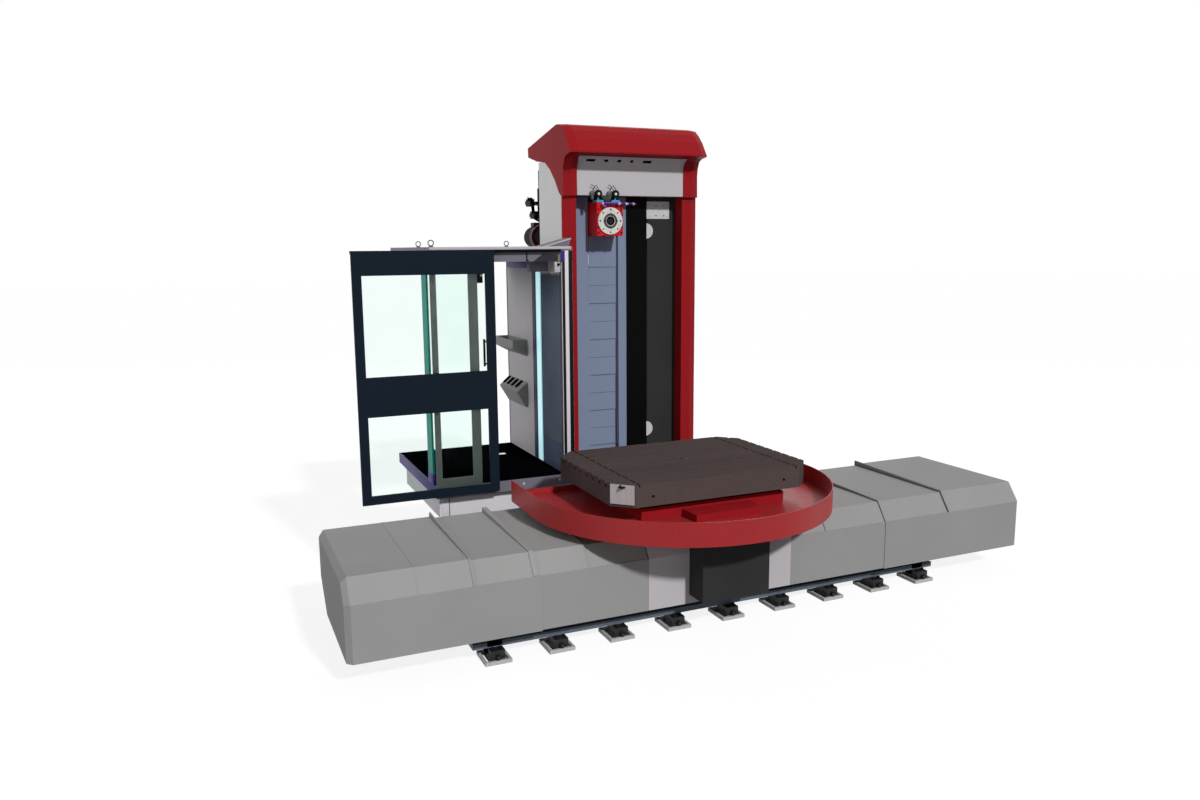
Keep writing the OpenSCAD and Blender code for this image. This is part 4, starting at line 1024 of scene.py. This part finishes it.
@dataclass
class Studio:
    """Camera, lights and floor, in metres of the shared frame."""

    eye: Trio = (-4.265, -8.8915, 3.305)
    yaw: float = 23.706  # degrees to the right
    pitch: float = 9.340  # degrees down
    roll: float = -0.441  # degrees
    film: float = 36  # width in millimetres
    focal: float = 27.8265  # millimetres
    sight: float = 200  # the camera sees this far
    sun_side: float = 10.0  # degrees to the right of the front
    sun_height: float = 36.5  # degrees above the horizon
    sun_size: float = 4.0  # degrees across
    sun_power: float = 2.43
    lamp_size: float = 7.0
    left: Aim = Aim((-14.0, -9.0, 2.5), (-0.5, 0.0, 1.8))
    left_power: float = 380
    rear: Aim = Aim((7.0, 14.0, 6.0), (0.0, 0.5, 2.0))
    rear_power: float = 700
    panel: Aim = Aim((-8.0, 3.0, 4.6), (-0.6, 0.9, 3.0))  # at the left side of the column
    panel_power: float = 640
    panel_cone: float = 52.0  # degrees
    panel_soft: float = 1.2  # radius of that lamp
    floor_reach: float = 90  # from its middle to its edge
    floor_glow: float = 0.86  # level at which the floor is seen
    sky_light: float = 0.22  # level at which the world lights the mill

    def build(self) -> None:
        """Place the camera, the lights, the floor and the background."""
        bpy.context.scene.view_settings.view_transform = "Standard"
        self._camera()
        self._sun()
        self._large("left", self.left, self.left_power)
        self._panel()
        self._large("rear", self.rear, self.rear_power)
        self._floor()
        self._world()

    def _camera(self) -> None:
        """Make the camera from its yaw, pitch and roll."""
        yaw, pitch, roll = (math.radians(v) for v in (self.yaw, self.pitch, self.roll))
        level = math.cos(pitch)
        ahead = Vector((math.sin(yaw) * level, math.cos(yaw) * level, -math.sin(pitch)))
        right = Vector((math.cos(yaw), -math.sin(yaw), 0))
        up = right.cross(ahead)
        side = right * math.cos(roll) + up * math.sin(roll)
        top = up * math.cos(roll) - right * math.sin(roll)
        turn = Matrix((side, top, -ahead)).transposed().to_4x4()
        data = bpy.data.cameras.new("camera")
        data.sensor_width = self.film
        data.lens = self.focal
        data.clip_end = self.sight
        camera = self._place("camera", data)
        camera.matrix_world = Matrix.Translation(self.eye) @ turn
        bpy.context.scene.camera = camera

    @staticmethod
    def _place(name: str, data: bpy.types.ID) -> bpy.types.Object:
        """Put a camera, lamp or mesh into the scene.

        Args:
            name: name of the object.
            data: what it shows.

        Returns:
            The new object.
        """
        obj = bpy.data.objects.new(name, data)
        bpy.context.scene.collection.objects.link(obj)
        return obj

    def _sun(self) -> None:
        """Add the main light."""
        data = bpy.data.lights.new("sun", "SUN")
        data.energy = self.sun_power
        data.angle = math.radians(self.sun_size)
        side, rise = math.radians(self.sun_side), math.radians(self.sun_height)
        level = math.cos(rise)
        rays = Vector((-math.sin(side) * level, math.cos(side) * level, -math.sin(rise)))
        lamp = self._place("sun", data)
        lamp.rotation_euler = rays.to_track_quat("-Z", "Y").to_euler()

    def _large(self, name: str, aim: Aim, power: float) -> None:
        """Add a large square lamp.

        Args:
            name: name of the lamp.
            aim: where it hangs and looks.
            power: its power in watts.
        """
        data = bpy.data.lights.new(name, "AREA")
        data.size = self.lamp_size
        data.energy = power
        aim.apply(self._place(name, data))

    def _panel(self) -> None:
        """Add a soft cone of light on the left side of the column."""
        data = bpy.data.lights.new("panel", "SPOT")
        data.energy = self.panel_power
        data.spot_size = math.radians(self.panel_cone)
        data.spot_blend = .5
        data.shadow_soft_size = self.panel_soft
        self.panel.apply(self._place("panel", data))

    def _floor(self) -> None:
        """Lay a pale floor that keeps only soft shadows."""
        bm = bmesh.new()
        bmesh.ops.create_grid(bm, x_segments=1, y_segments=1, size=self.floor_reach)
        data = bpy.data.meshes.new("floor")
        bm.to_mesh(data)
        bm.free()
        floor = self._place("floor", data)
        floor.location = (0, 0, -0.002)
        mat = bpy.data.materials.new("floor")
        mat.use_nodes = True
        tree = mat.node_tree
        shader = tree.nodes["Principled BSDF"]
        shader.inputs["Base Color"].default_value = (.20, .20, .20, 1)
        shader.inputs["Roughness"].default_value = 1.0
        shader.inputs["Specular IOR Level"].default_value = 0.0
        shader.inputs["Emission Color"].default_value = (1, 1, 1, 1)
        tree.links.new(self._seen(tree, 0.0, self.floor_glow), shader.inputs["Emission Strength"])
        data.materials.append(mat)

    def _world(self) -> None:
        """Give a white background and a softer light from all around."""
        world = bpy.data.worlds.new("studio")
        bpy.context.scene.world = world
        world.use_nodes = True
        tree = world.node_tree
        back = tree.nodes["Background"]
        back.inputs["Color"].default_value = (1, 1, 1, 1)
        tree.links.new(self._seen(tree, self.sky_light, 1.0), back.inputs["Strength"])

    @staticmethod
    def _seen(tree: Tree, light: float, sight: float) -> bpy.types.NodeSocket:
        """Give one level to rays that light the mill and one to rays that see the background.

        Args:
            tree: node tree to add to.
            light: level for diffuse rays.
            sight: level for camera, glossy and transmission rays.

        Returns:
            The socket that carries the level.
        """
        path = tree.nodes.new("ShaderNodeLightPath")
        level = tree.nodes.new("ShaderNodeMapRange")
        level.inputs["To Min"].default_value = light
        level.inputs["To Max"].default_value = sight
        last = path.outputs["Is Camera Ray"]
        for name in ("Is Glossy Ray", "Is Transmission Ray"):
            most = tree.nodes.new("ShaderNodeMath")
            most.operation = "MAXIMUM"
            tree.links.new(last, most.inputs[0])
            tree.links.new(path.outputs[name], most.inputs[1])
            last = most.outputs[0]
        tree.links.new(last, level.inputs["Value"])
        return level.outputs["Result"]


@dataclass
class Machine:
    """The whole mill: CAD nodes with their finishes, and the trim.

    Attributes:
    """

    frame: dict

    def build(self) -> None:
        """Paint the CAD nodes and add every trim piece."""
        self._paint()
        for trim in (TableTrim(), HoodTrim(), ColumnTrim(), NoseTrim(), HoseTrim(), MotorTrim(),
                     CabinTrim(), FeetTrim()):
            trim.build()

    def _paint(self) -> None:
        """Give every CAD node the finish of its material slot."""
        for part in self.frame["record"]["subparts"]:
            obj = self.frame["nodes"][part["node"]]
            obj.data.materials.clear()
            look = NODE_FINISH.get(part["node"], part["material_slot"])
            obj.data.materials.append(FINISHES[look].material())
            LOG.info("%s painted %s", part["node"], look)


def main() -> None:
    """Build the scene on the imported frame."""
    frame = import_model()
    RECORD_SLOTS.update(m["slot"] for m in frame["record"]["materials"])
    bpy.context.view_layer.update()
    Machine(frame).build()
    Studio().build()


if __name__ == "__main__":
    main()
